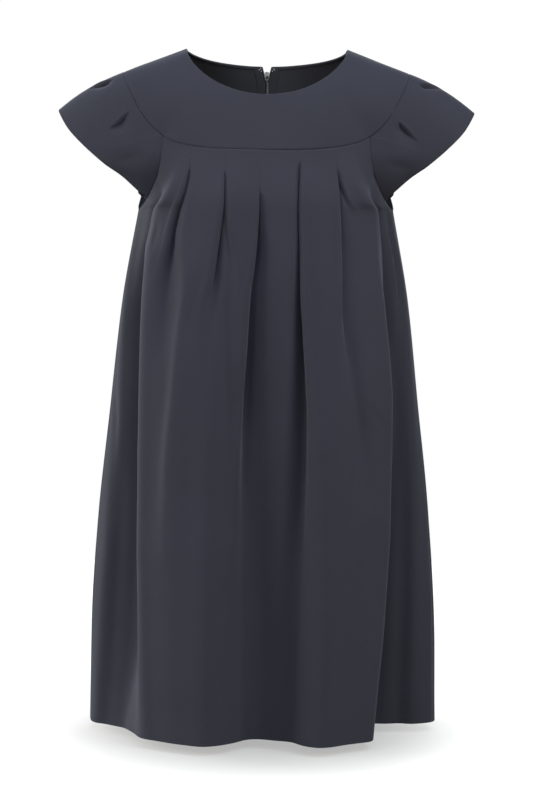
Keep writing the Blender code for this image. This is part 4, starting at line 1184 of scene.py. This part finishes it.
def new_group(name, inputs, outputs):
    """An empty shader node group with named sockets."""
    tree = bpy.data.node_groups.new(name, "ShaderNodeTree")
    for label, kind, value in inputs:
        socket = tree.interface.new_socket(label, in_out="INPUT", socket_type=kind)
        if value is not None:
            socket.default_value = value
    for label, kind in outputs:
        tree.interface.new_socket(label, in_out="OUTPUT", socket_type=kind)
    return tree, tree.nodes.new("NodeGroupInput"), tree.nodes.new("NodeGroupOutput")


def new_node(tree, kind, values=None, links=None):
    """A shader node with some of its inputs set and some linked."""
    node = tree.nodes.new("ShaderNode" + kind)
    for label, value in (values or {}).items():
        node.inputs[label].default_value = value
    for label, output in (links or {}).items():
        tree.links.new(output, node.inputs[label])
    return node


def math_node(tree, operation, first, second=None):
    """A Math node with its inputs set or linked."""
    node = tree.nodes.new("ShaderNodeMath")
    node.operation = operation
    for socket, value in zip(node.inputs, (first, second)):
        if value is None:
            continue
        if isinstance(value, (int, float)):
            socket.default_value = value
        else:
            tree.links.new(value, socket)
    return node.outputs[0]


def noise_node(tree, vector, scale, detail, roughness=0.55):
    """A Noise texture's factor."""
    values = {"Scale": scale, "Detail": detail, "Roughness": roughness}
    return new_node(tree, "TexNoise", values, {"Vector": vector}).outputs["Fac"]


def stretched(tree, vector, scale):
    """A place scaled along its axes."""
    return new_node(tree, "Mapping", {"Scale": scale}, {"Vector": vector}).outputs["Vector"]


def weave_group():
    """A plain weave with uneven yarns, and the cloth's soft mottling."""
    tree, given, result = new_group(
        "dress_weave",
        [("Cloth Place", "NodeSocketVector", None), ("Place", "NodeSocketVector", None),
         ("Yarns", "NodeSocketFloat", 1800.0)],
        [("Height", "NodeSocketFloat"), ("Mottle", "NodeSocketFloat"), ("Yarn", "NodeSocketFloat")],
    )
    part = new_node(tree, "SeparateXYZ", links={"Vector": given.outputs["Cloth Place"]})
    uneven = noise_node(tree, given.outputs["Cloth Place"], 260.0, 2.0)
    yarns = given.outputs["Yarns"]
    waves = []
    for axis in ("X", "Y"):
        turns = math_node(tree, "MULTIPLY", part.outputs[axis], yarns)
        turns = math_node(tree, "MULTIPLY", turns, math.pi)
        drift = math_node(tree, "MULTIPLY", uneven, 2.4)
        waves.append(math_node(tree, "SINE", math_node(tree, "ADD", turns, drift)))
    product = math_node(tree, "MULTIPLY", waves[0], waves[1])
    height = math_node(tree, "MULTIPLY_ADD", product, 0.5)
    height.node.inputs[2].default_value = 0.5
    tree.links.new(height, result.inputs["Height"])
    slub = stretched(tree, given.outputs["Cloth Place"], (60.0, 900.0, 1.0))
    tree.links.new(noise_node(tree, slub, 1.0, 2.0), result.inputs["Yarn"])
    broad = noise_node(tree, given.outputs["Place"], 9.0, 3.0)
    fine = noise_node(tree, given.outputs["Place"], 420.0, 3.0, 0.7)
    halves = [math_node(tree, "MULTIPLY", noise, 0.5) for noise in (broad, fine)]
    tree.links.new(math_node(tree, "ADD", *halves), result.inputs["Mottle"])
    return tree


def wear_group():
    """Fine scratches and dull patches for metal."""
    tree, given, result = new_group(
        "zip_wear",
        [("Place", "NodeSocketVector", None)],
        [("Mask", "NodeSocketFloat"), ("Height", "NodeSocketFloat")],
    )
    scratches = stretched(tree, given.outputs["Place"], (4000.0, 500.0, 900.0))
    tree.links.new(noise_node(tree, scratches, 1.0, 3.0), result.inputs["Height"])
    tree.links.new(noise_node(tree, given.outputs["Place"], 600.0, 3.0), result.inputs["Mask"])
    return tree


def group_node(tree, group, places):
    """A node group placed in a material with its vectors linked."""
    node = tree.nodes.new("ShaderNodeGroup")
    node.node_tree = group
    for label, output in places.items():
        tree.links.new(output, node.inputs[label])
    return node


def shaded(tree, value, low, high):
    """A colour between two, by a value."""
    mix = tree.nodes.new("ShaderNodeMix")
    mix.data_type = "RGBA"
    tree.links.new(value, mix.inputs["Factor"])
    mix.inputs["A"].default_value = (*low, 1.0)
    mix.inputs["B"].default_value = (*high, 1.0)
    return mix.outputs["Result"]


def ranged(tree, value, low, high, start=0.3, stop=0.7):
    """A node that moves a value from one range into another."""
    values = {"From Min": start, "From Max": stop, "To Min": low, "To Max": high}
    return new_node(tree, "MapRange", values, {"Value": value})


def bumped(tree, height, distance, strength, shader):
    """A bump fed to a shader's normal."""
    values = {"Distance": distance, "Strength": strength}
    bump = new_node(tree, "Bump", values, {"Height": height})
    tree.links.new(bump.outputs["Normal"], shader.inputs["Normal"])


def scaled(colour, by):
    """A colour made lighter or darker."""
    return tuple(min(part * by, 1.0) for part in colour)


def new_material(name, colour, roughness):
    """A material with its Principled shader."""
    made = bpy.data.materials.new(name)
    made.use_nodes = True
    made.diffuse_color = (*colour, 1.0)
    shader = made.node_tree.nodes["Principled BSDF"]
    shader.inputs["Roughness"].default_value = roughness
    return made, made.node_tree, shader


def places_in(tree):
    """The piece's UV map and its Object coordinates."""
    node = tree.nodes.new("ShaderNodeTexCoord")
    return node.outputs["UV"], node.outputs["Object"]


def cloth_finish(name, colour, weave, sheen, yarns=1800.0):
    """Dark, softly shining woven cloth."""
    made, tree, shader = new_material(name, colour, 0.78)
    uv, place = places_in(tree)
    group = group_node(tree, weave, {"Cloth Place": uv, "Place": place})
    group.inputs["Yarns"].default_value = yarns
    tone = shaded(tree, group.outputs["Mottle"], scaled(colour, 0.72), scaled(colour, 1.30))
    yarn = tree.nodes.new("ShaderNodeMix")
    yarn.data_type = "RGBA"
    yarn.blend_type = "MULTIPLY"
    yarn.inputs["Factor"].default_value = 1.0
    tree.links.new(tone, yarn.inputs["A"])
    tree.links.new(ranged(tree, group.outputs["Yarn"], 0.97, 1.03).outputs["Result"], yarn.inputs["B"])
    tree.links.new(yarn.outputs["Result"], shader.inputs["Base Color"])
    dull = ranged(tree, group.outputs["Mottle"], 0.70, 0.86)
    tree.links.new(dull.outputs["Result"], shader.inputs["Roughness"])
    shader.inputs["Specular IOR Level"].default_value = 0.15
    shader.inputs["Sheen Weight"].default_value = sheen
    shader.inputs["Sheen Roughness"].default_value = 0.45
    shader.inputs["Sheen Tint"].default_value = (0.66, 0.70, 0.87, 1.0)
    bumped(tree, group.outputs["Height"], 0.00006, 0.45, shader)
    return made


def thread_finish(name, colour):
    """Twisted sewing thread."""
    made, tree, shader = new_material(name, colour, 0.6)
    place = places_in(tree)[1]
    tone = noise_node(tree, place, 3000.0, 2.0)
    twist = shaded(tree, tone, scaled(colour, 0.7), scaled(colour, 1.3))
    tree.links.new(twist, shader.inputs["Base Color"])
    bumped(tree, tone, 0.00005, 0.5, shader)
    shader.inputs["Sheen Weight"].default_value = 0.2
    return made


def metal_finish(name, colour, wear, roughness):
    """Plated zip metal with fine wear."""
    made, tree, shader = new_material(name, colour, roughness)
    place = places_in(tree)[1]
    group = group_node(tree, wear, {"Place": place})
    tone = shaded(tree, group.outputs["Mask"], scaled(colour, 0.75), scaled(colour, 1.25))
    tree.links.new(tone, shader.inputs["Base Color"])
    shader.inputs["Metallic"].default_value = 0.45
    dull = ranged(tree, group.outputs["Mask"], roughness * 0.8, roughness * 1.3)
    tree.links.new(dull.outputs["Result"], shader.inputs["Roughness"])
    bumped(tree, group.outputs["Height"], 0.00002, 0.3, shader)
    return made


def finish(name):
    """A finish by its name, made the first time it is asked for."""
    if name in bpy.data.materials:
        return bpy.data.materials[name]
    weave = bpy.data.node_groups.get("dress_weave") or weave_group()
    wear = bpy.data.node_groups.get("zip_wear") or wear_group()
    tones = colours()
    makers = {
        "navy_cloth": lambda: cloth_finish(name, tones.cloth, weave, 0.17),
        # the back's material is the front's cloth made lighter: painted light inside the neck
        "navy_back_painted_light": lambda: cloth_finish(name, tones.back_cloth, weave, 0.17),
        "woven_tape": lambda: cloth_finish(name, tones.tape, weave, 0.12, 1400.0),
        "navy_thread": lambda: thread_finish(name, tones.thread),
        "tack_thread": lambda: thread_finish(name, tones.tack),
        "plated_metal": lambda: metal_finish(name, tones.metal, wear, 0.34),
        "coil_metal": lambda: metal_finish(name, scaled(tones.metal, 0.62), wear, 0.5),
    }
    return makers[name]()


# ---------------------------------------------------------------- operators

def hem_radius():
    """The radius that cloth turns round at a hem, in millimetres."""
    return sizes().thickness / MM * 1.1


def panel_sheet():
    """The front panel's finished face, with its seams turned in."""
    grid = soft_waves(soft_waves(panel_grid(), PANEL_WAVES), PANEL_RIPPLES)
    beside_sleeve = np.linspace(0.0, 1.0, grid.shape[0])[:, None] > SLEEVE_BESIDE
    sides = np.where(beside_sleeve, SLEEVE_TURN, 1.0)
    return allowed(seam_turned(grid, left=sides, right=sides, high=1.0), "high")


def back_sheet(side):
    """One side of the back's finished face, with its seams turned in and its split open."""
    grid = soft_waves(back_grid(side), BACK_WAVES, side)
    grid = seam_turned(grid, left=1.0, right=1.0)
    near = np.exp(-((grid[..., 0] / SEAM_CALM) ** 2))
    grid[..., 0] -= near * grid[:, [-1 if side > 0 else 0], 0]
    return split_open(grid, side)


def sleeve_sheet(side):
    """One sleeve's finished face, with its seam turned in."""
    grid = soft_waves(sleeve_grid(side), SLEEVE_WAVES, side)
    return allowed(seam_turned(grid, high=0.28), "high")


def thread_piece(name, maker, colour="navy_thread"):
    """A piece made of stitches, on the cloth."""
    piece = in_scene(name, finished_mesh(name, maker, finish(colour)))
    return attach(piece, "dress")


def stem_line(grid, table, low):
    """The sewn part of a tuck, from the yoke seam down to a height."""
    side_columns = LEFT_COLUMNS[-1][1]
    along = reach_along(grid, 1)
    find = lines_by_place(side_columns, grid.shape[1] - 1 - side_columns)
    heights, line = find(grid, along, table)
    normal = outward(grid)
    places, ways = [], []
    for row, run, way, height, at in zip(grid, along, normal, heights, line):
        if height > low:
            places.append([np.interp(at, run, row[:, k]) for k in range(3)])
            ways.append([np.interp(at, run, way[:, k]) for k in range(3)])
    return np.array(places[:-2]), np.array(ways[:-2])


class DRESS_OT_front(bpy.types.Operator):
    """The yoke and the front panel with its hem and tuck stitches"""

    bl_idname = "dress.front"
    bl_label = "Front"

    def execute(self, context):
        size = sizes()
        stitch, thread = size.stitch / MM, size.thread / MM
        # the yoke's first row is at the neck, where the cloth is turned under
        yoke = soft_waves(yoke_grid(), YOKE_WAVES)
        yoke = allowed(seam_turned(yoke, left=1.0, right=1.0, high=1.0), "high")
        yoke = turned_under(yoke, 9.0, hem_radius())
        yoke_piece = cloth_piece(
            "dress_front_yoke", yoke, finish("navy_cloth"), "front_yoke", size.thickness
        )
        panel = panel_sheet()
        maker = bmesh.new()
        stitch_run(maker, *beside(panel, size.hem_reach / MM - 1.0), stitch, HEM_GAP, thread, HEM_SINK)
        for name, low in TUCK_STEMS.items():
            stem = stem_line(panel, FRONT_FOLDS[name], low)
            stitch_run(maker, *stem, STEM_STITCH, STEM_GAP, thread, STEM_SINK)
        threads = thread_piece("dress_panel_stitches", maker)
        panel = turned_under(panel, size.hem_reach / MM, hem_radius())
        panel_piece = cloth_piece(
            "dress_front_panel", panel, finish("navy_cloth"), "front_panel", size.thickness
        )
        return {"FINISHED"}


class DRESS_OT_backs(bpy.types.Operator):
    """The two sides of the back with their hem stitches"""

    bl_idname = "dress.backs"
    bl_label = "Backs"

    def execute(self, context):
        size = sizes()
        for name, side in (("back_left", 1.0), ("back_right", -1.0)):
            grid = back_sheet(side)
            maker = bmesh.new()
            line = beside(grid, size.hem_reach / MM - 1.0)
            stitch_run(maker, *line, size.stitch / MM, HEM_GAP, size.thread / MM, HEM_SINK)
            threads = thread_piece(f"dress_{name}_stitches", maker)
            grid = turned_under(grid[::-1, ::-1], 3.0, hem_radius())[::-1, ::-1]
            grid = turned_under(grid, size.hem_reach / MM, hem_radius())
            # the back wears the lighter copy of the cloth, painted light for its inside seen through the
            # neck
            piece = cloth_piece(
                "dress_" + name, grid, finish("navy_back_painted_light"), name, size.thickness
            )
        return {"FINISHED"}


class DRESS_OT_sleeves(bpy.types.Operator):
    """The two cap sleeves with the stitches of their hems"""

    bl_idname = "dress.sleeves"
    bl_label = "Sleeves"

    def execute(self, context):
        size = sizes()
        for name, side in (("sleeve_left", 1.0), ("sleeve_right", -1.0)):
            grid = sleeve_sheet(side)
            maker = bmesh.new()
            stitch_run(maker, *beside(grid, 2.4), size.stitch / MM, HEM_GAP, size.thread / MM)
            threads = thread_piece(f"dress_{name}_stitches", maker)
            piece = cloth_piece(
                "dress_" + name, turned_under(grid, 5.0, hem_radius()), finish("navy_cloth"), name,
                size.thickness,
            )
        return {"FINISHED"}


def inside_back(sheet, side, across, downs):
    """Points and normals of the back at distances from its centre edge and down from its top."""
    normals = outward(sheet)[::-1]
    grid = sheet[::-1]
    if side > 0:
        grid, normals = grid[:, ::-1], normals[:, ::-1]
    down = reach_along(grid, 0)[:, 0]
    run = reach_along(grid, 1)
    places, ways = [], []
    for far, deep in zip(*np.broadcast_arrays(across, downs)):
        at = np.interp(deep, down, np.arange(len(down)))
        low = min(int(at), len(down) - 2)
        part = at - low
        found = []
        for values in (grid, normals):
            two = [
                np.array([np.interp(far, run[i], values[i, :, k]) for k in range(3)])
                for i in (low, low + 1)
            ]
            found.append(two[0] * (1.0 - part) + two[1] * part)
        places.append(found[0])
        ways.append(found[1])
    return np.array(places), unit(np.array(ways))


def tape_sheet(sheet, side):
    """One zip tape inside the back, with its thicker cord beside the teeth."""
    downs = np.linspace(ZIP_TOP, ZIP_LENGTH, TAPE_ROWS + 1)
    gap = CHAIN_WIDTH / 2.0 + CHAIN_CLEAR
    columns = []
    for far, level in TAPE_SHAPE:
        places, ways = inside_back(sheet, side, gap + far * TAPE_WIDTH, downs)
        columns.append(places - ways * (sizes().thickness / MM + TAPE_CLEAR - level))
    grid = np.stack(columns, axis=1)[::-1]
    return grid[:, ::-1] if side > 0 else grid


class DRESS_OT_zip(bpy.types.Operator):
    """The zip's tapes, its coil of teeth and the loose thread that tacks its top"""

    bl_idname = "dress.zip"
    bl_label = "Zip"

    def execute(self, context):
        size = sizes()
        sheets = {side: back_sheet(side) for side in (1.0, -1.0)}
        for name, side in (("zip_tape_left", 1.0), ("zip_tape_right", -1.0)):
            grid = tape_sheet(sheets[side], side)
            piece = cloth_piece("dress_" + name, grid, finish("woven_tape"), name, 0.00045)
        maker = bmesh.new()
        downs = np.arange(CHAIN_TOP, ZIP_LENGTH, TOOTH_PITCH)
        places, ways = inside_back(sheets[1.0], 1.0, 0.0, downs)
        steps = unit(np.gradient(places, axis=0))
        level = size.thickness / MM + TAPE_CLEAR
        for i, (place, way, step) in enumerate(zip(places, ways, steps)):
            shift = TOOTH_SHIFT if i % 2 else -TOOTH_SHIFT
            place = np.array((shift, *place[1:])) - way * level
            across = np.array((TOOTH[0], 0.0, 0.0))
            bead(maker, across, step * TOOTH[1], way * TOOTH[2], place)
        metal_piece("zip_chain", maker, "coil_metal")
        maker = bmesh.new()
        for side in (1.0, -1.0):
            for far, deep, level in TACKS:
                ends = np.array([far, far + 1.4]), np.array([deep, deep + 1.6])
                pair, ways = inside_back(sheets[side], side, *ends)
                line = pair - ways * level
                stitch_run(maker, line, -ways, 2.1, 0.1, 0.75)
        thread_piece("dress_zip_tacks", maker, "tack_thread")
        return {"FINISHED"}


def slider_frame():
    """The slider's own frame on the centre back: +X across, +Y up the zip, +Z outwards."""
    line = back_rows(1.0, np.array([0.0, 1.0]))[:, 0]
    steps = np.linalg.norm(np.diff(line, axis=0), axis=1)
    down = np.concatenate([[0.0], np.cumsum(steps)])
    near, here, far = (
        Vector([float(np.interp(SLIDER_AT + move, down, axis)) for axis in line.T])
        for move in (-SLIDER_STEP, 0.0, SLIDER_STEP)
    )
    across = Vector((-1.0, 0.0, 0.0))
    up = (near - far).normalized()
    turn = Matrix((across, up, across.cross(up))).transposed().to_4x4()
    return Matrix.Translation(here * MM) @ turn


def rounded(maker, edges, offset, segments):
    """Edges rounded, and the faces that makes."""
    return bmesh.ops.bevel(
        maker, geom=edges, offset=offset, segments=segments, profile=0.5, affect="EDGES", material=-1,
    )["faces"]


def plate(maker, size, place, foot=1.0, corner=1.3, edge=0.22):
    """A flat plate with rounded corners and edges, narrower at its foot, in millimetres."""
    made = bmesh.ops.create_cube(maker, size=1.0)["verts"]
    bmesh.ops.scale(maker, vec=size, verts=made)
    for vertex in made:
        if vertex.co.y < 0.0:
            vertex.co.x *= foot
    edges = {e for v in made for e in v.link_edges}
    upright = [e for e in edges if abs(e.verts[0].co.z - e.verts[1].co.z) > size[2] / 2.0]
    made = {v for f in rounded(maker, upright, corner, 4) for v in f.verts}
    level = [
        e for e in {e for v in made for e in v.link_edges}
        if abs(e.verts[0].co.z - e.verts[1].co.z) < 1e-6 and e.calc_face_angle(0.0) > 1.0
    ]
    made |= {v for e in level for v in e.verts}
    faces = rounded(maker, level, edge, 2)
    made = {v for v in made if v.is_valid} | {v for f in faces for v in f.verts}
    bmesh.ops.translate(maker, vec=place, verts=list(made))


def placed(maker, frame_of):
    """The millimetre shapes of a bmesh put in their place in metres."""
    bmesh.ops.transform(maker, matrix=frame_of @ Matrix.Scale(MM, 4), verts=maker.verts)
    bmesh.ops.recalc_face_normals(maker, faces=maker.faces)


class DRESS_OT_slider(bpy.types.Operator):
    """The zip's slider and its pull tab"""

    bl_idname = "dress.slider"
    bl_label = "Slider"

    def execute(self, context):
        frame_of = slider_frame()
        maker = bmesh.new()
        for size, place, foot, corner in SLIDER_PLATES:
            plate(maker, size, place, foot, corner)
        bmesh.ops.create_uvsphere(
            maker, u_segments=12, v_segments=8, radius=1.0,
            matrix=Matrix.Translation((0.0, 4.2, -3.3)) @ Matrix.Diagonal((0.65, 0.65, 0.6, 1.0)),
        )
        eyelet = bmesh.ops.create_circle(
            maker, segments=8, radius=0.42,
            matrix=Matrix.Translation((1.55, 4.2, -3.2)) @ Matrix.Rotation(math.pi / 2.0, 4, "X"),
        )["verts"]
        bmesh.ops.spin(
            maker, geom=eyelet + list({e for v in eyelet for e in v.link_edges}),
            cent=(0.0, 4.2, -3.2), axis=(0.0, 0.0, 1.0), angle=2.0 * math.pi, steps=20,
        )
        ring = bmesh.ops.create_circle(
            maker, segments=10, radius=0.5, cap_ends=True,
            matrix=Matrix.Translation((0.0, -2.9, 1.2)) @ Matrix.Diagonal((1.4, 1.0, 1.0, 1.0)),
        )
        face = list({f for v in ring["verts"] for f in v.link_faces})
        bmesh.ops.spin(
            maker, geom=face, cent=(0.0, 0.0, 1.2), axis=(-1.0, 0.0, 0.0), angle=math.pi, steps=16,
        )
        bmesh.ops.remove_doubles(maker, verts=maker.verts, dist=1e-4)
        placed(maker, frame_of)
        metal_piece("zip_slider", maker, "plated_metal")
        maker = bmesh.new()
        bmesh.ops.create_grid(maker, x_segments=3, y_segments=3, size=1.0)
        maker.verts.ensure_lookup_table()
        for k, vertex in enumerate(maker.verts):
            vertex.co = (TAB_ACROSS[k % 4], TAB_ALONG[k // 4], -TAB_THICK / 2.0)
        eye = [
            f for f in maker.faces
            if abs(f.calc_center_median().x) < 1.0 and -6.0 < f.calc_center_median().y < -0.5
        ]
        bmesh.ops.delete(maker, geom=eye, context="FACES")
        flat = maker.faces[:] + maker.edges[:] + maker.verts[:]
        grown = bmesh.ops.extrude_face_region(maker, geom=flat)["geom"]
        lifted = [item for item in grown if isinstance(item, bmesh.types.BMVert)]
        bmesh.ops.translate(maker, vec=(0.0, 0.0, TAB_THICK), verts=lifted)
        bmesh.ops.recalc_face_normals(maker, faces=maker.faces)
        upright = [
            e for e in maker.edges
            if abs(e.verts[0].co.z - e.verts[1].co.z) > 0.5 and abs(e.verts[0].co.x) > 2.0
            and (e.verts[0].co.y > 0.0 or e.verts[0].co.y < -20.0)
        ]
        rounded(maker, upright, 1.1, 4)
        rounded(maker, [e for e in maker.edges if e.calc_face_angle(0.0) > 1.0], 0.16, 2)
        pivot = (0.0, -TAB_DROP, OUTER_PLATE_LEVEL + OUTER_PLATE_THICK + BAIL_CLEAR / 2.0)
        hung = frame_of @ Matrix.Translation(Vector(pivot) * MM) @ Matrix.Rotation(TAB_LEAN, 4, "X")
        placed(maker, hung)
        metal_piece("zip_pull", maker, "plated_metal", "zip_pull")
        return {"FINISHED"}


# half the floor's width and how far it lies below the hem, in metres
FLOOR_HALF = 1.6
FLOOR_BELOW = 0.012
# where the floor's painted glow, seen only by the camera, rises from its value below the dress to its value
# far off, in metres from the dress's middle; the rise paints the soft fall-off of the dress's shadow
WHITE_REACH = (0.130, 0.360)
# the lens, in millimetres, and the point that the camera looks at
LENS = 104.65
TARGET = (0.0028, 0.0, -0.449)
# the soft lights round the dress: azimuth and elevation in degrees, size, power and colour
LIGHT_REACH = 3.2
LIGHT_AIM = (0.0, 0.0, -0.45)
LIGHTS = {
    "left_back": (-118.0, 12.0, (1.2, 2.0), 48.0, (1.0, 1.0, 0.94)),
    "left_side": (-80.0, 8.0, (1.2, 2.0), 66.0, (1.0, 1.0, 0.88)),
    "left_front": (-35.0, 12.0, (1.2, 1.6), 27.0, (1.0, 0.95, 0.88)),
    "front": (0.0, 26.0, (1.2, 1.2), 24.0, (1.0, 0.98, 0.93)),
    "right_side": (60.0, 8.0, (1.2, 1.8), 37.0, (1.0, 0.87, 0.66)),
    "right_high": (50.0, 48.0, (1.4, 1.2), 44.0, (0.86, 0.96, 1.0)),
    "overhead": (0.0, 83.0, (2.2, 1.6), 45.0, (0.80, 0.90, 1.0)),
    "back": (168.0, 24.0, (1.6, 1.6), 45.0, (0.96, 0.98, 1.0)),
}


class DRESS_OT_stage(bpy.types.Operator):
    """The floor, the lights and the camera"""

    bl_idname = "dress.stage"
    bl_label = "Stage"

    def execute(self, context):
        scene = context.scene
        stage = scene.dress_stage
        scene.view_settings.view_transform = "Standard"
        maker = bmesh.new()
        bmesh.ops.create_grid(maker, x_segments=1, y_segments=1, size=FLOOR_HALF)
        bmesh.ops.translate(maker, vec=(0.0, 0.0, HEM * MM - FLOOR_BELOW), verts=maker.verts)
        material, tree, shader = new_material("studio_floor", stage.floor, 0.9)
        shader.inputs["Base Color"].default_value = (*stage.floor, 1.0)
        shader.inputs["Specular IOR Level"].default_value = 0.0
        # painted glow: the floor glows for camera rays only, weaker below the dress and white far off, so
        # it reads white and the shadow under the hem fades softly
        shader.inputs["Emission Color"].default_value = (1.0, 1.0, 1.0, 1.0)
        far = tree.nodes.new("ShaderNodeVectorMath")
        far.operation = "LENGTH"
        tree.links.new(stretched(tree, places_in(tree)[1], (1.05, 1.0, 0.0)), far.inputs[0])
        lift = ranged(tree, far.outputs["Value"], *stage.white, *WHITE_REACH)
        lift.interpolation_type = "SMOOTHSTEP"
        seen = tree.nodes.new("ShaderNodeLightPath").outputs["Is Camera Ray"]
        tree.links.new(
            math_node(tree, "MULTIPLY", seen, lift.outputs["Result"]), shader.inputs["Emission Strength"]
        )
        floor = in_scene("studio_floor", finished_mesh("studio_floor", maker, material))
        world = bpy.data.worlds.new("studio")
        world.use_nodes = True
        tree = world.node_tree
        wall = tree.nodes["Background"]
        wall.inputs["Color"].default_value = (1.0, 1.0, 1.0, 1.0)
        seen = tree.nodes.new("ShaderNodeLightPath").outputs["Is Camera Ray"]
        tree.links.new(math_node(tree, "MAXIMUM", seen, stage.fill), wall.inputs["Strength"])
        scene.world = world
        aim = Vector(LIGHT_AIM)
        for name, (turn, rise, size, power, tone) in LIGHTS.items():
            lamp = bpy.data.lights.new(name, "AREA")
            lamp.shape = "RECTANGLE"
            lamp.size, lamp.size_y = size
            lamp.energy = power * stage.light
            lamp.color = tone
            light = bpy.data.objects.new(name, lamp)
            scene.collection.objects.link(light)
            turn, rise = math.radians(turn), math.radians(rise)
            level = math.cos(rise)
            away = Vector((math.sin(turn) * level, -math.cos(turn) * level, math.sin(rise)))
            facing = away.to_track_quat("Z", "Y").to_matrix().to_4x4()
            light.matrix_world = Matrix.Translation(aim + away * LIGHT_REACH) @ facing
        lens = bpy.data.cameras.new("camera")
        lens.lens = LENS
        lens.sensor_width = 36.0
        camera = bpy.data.objects.new("camera", lens)
        scene.collection.objects.link(camera)
        target = Vector(TARGET)
        away = Vector((0.0, -math.cos(stage.elevation), math.sin(stage.elevation)))
        turn = away.to_track_quat("Z", "Y").to_matrix().to_4x4()
        turn = turn @ Matrix.Rotation(stage.roll, 4, "Z")
        camera.matrix_world = Matrix.Translation(target + away * stage.distance) @ turn
        scene.camera = camera
        return {"FINISHED"}


class DRESS_PT_panel(bpy.types.Panel):
    """The dress's settings and operators"""

    bl_idname = "DRESS_PT_panel"
    bl_label = "Dress"
    bl_space_type = "VIEW_3D"
    bl_region_type = "UI"
    bl_category = "Dress"

    def draw(self, context):
        scene = context.scene
        for group in (scene.dress_sizes, scene.dress_colours, scene.dress_stage):
            column = self.layout.column()
            for name in group.__annotations__:
                column.prop(group, name)
        for operator in OPERATORS:
            self.layout.operator(operator.bl_idname)


GROUPS = (
    ("dress_sizes", DressSizes), ("dress_colours", DressColours), ("dress_stage", DressStage),
)
OPERATORS = (
    DRESS_OT_front, DRESS_OT_backs, DRESS_OT_sleeves, DRESS_OT_zip, DRESS_OT_slider, DRESS_OT_stage,
)


def register():
    for name, group in GROUPS:
        bpy.utils.register_class(group)
        setattr(bpy.types.Scene, name, bpy.props.PointerProperty(type=group))
    for item in (*OPERATORS, DRESS_PT_panel):
        bpy.utils.register_class(item)


def unregister():
    for item in (DRESS_PT_panel, *reversed(OPERATORS)):
        bpy.utils.unregister_class(item)
    for name, group in reversed(GROUPS):
        delattr(bpy.types.Scene, name)
        bpy.utils.unregister_class(group)


def main():
    register()
    bpy.ops.dress.front()
    bpy.ops.dress.backs()
    bpy.ops.dress.sleeves()
    bpy.ops.dress.zip()
    bpy.ops.dress.slider()
    bpy.ops.dress.stage()


if __name__ == "__main__":
    main()
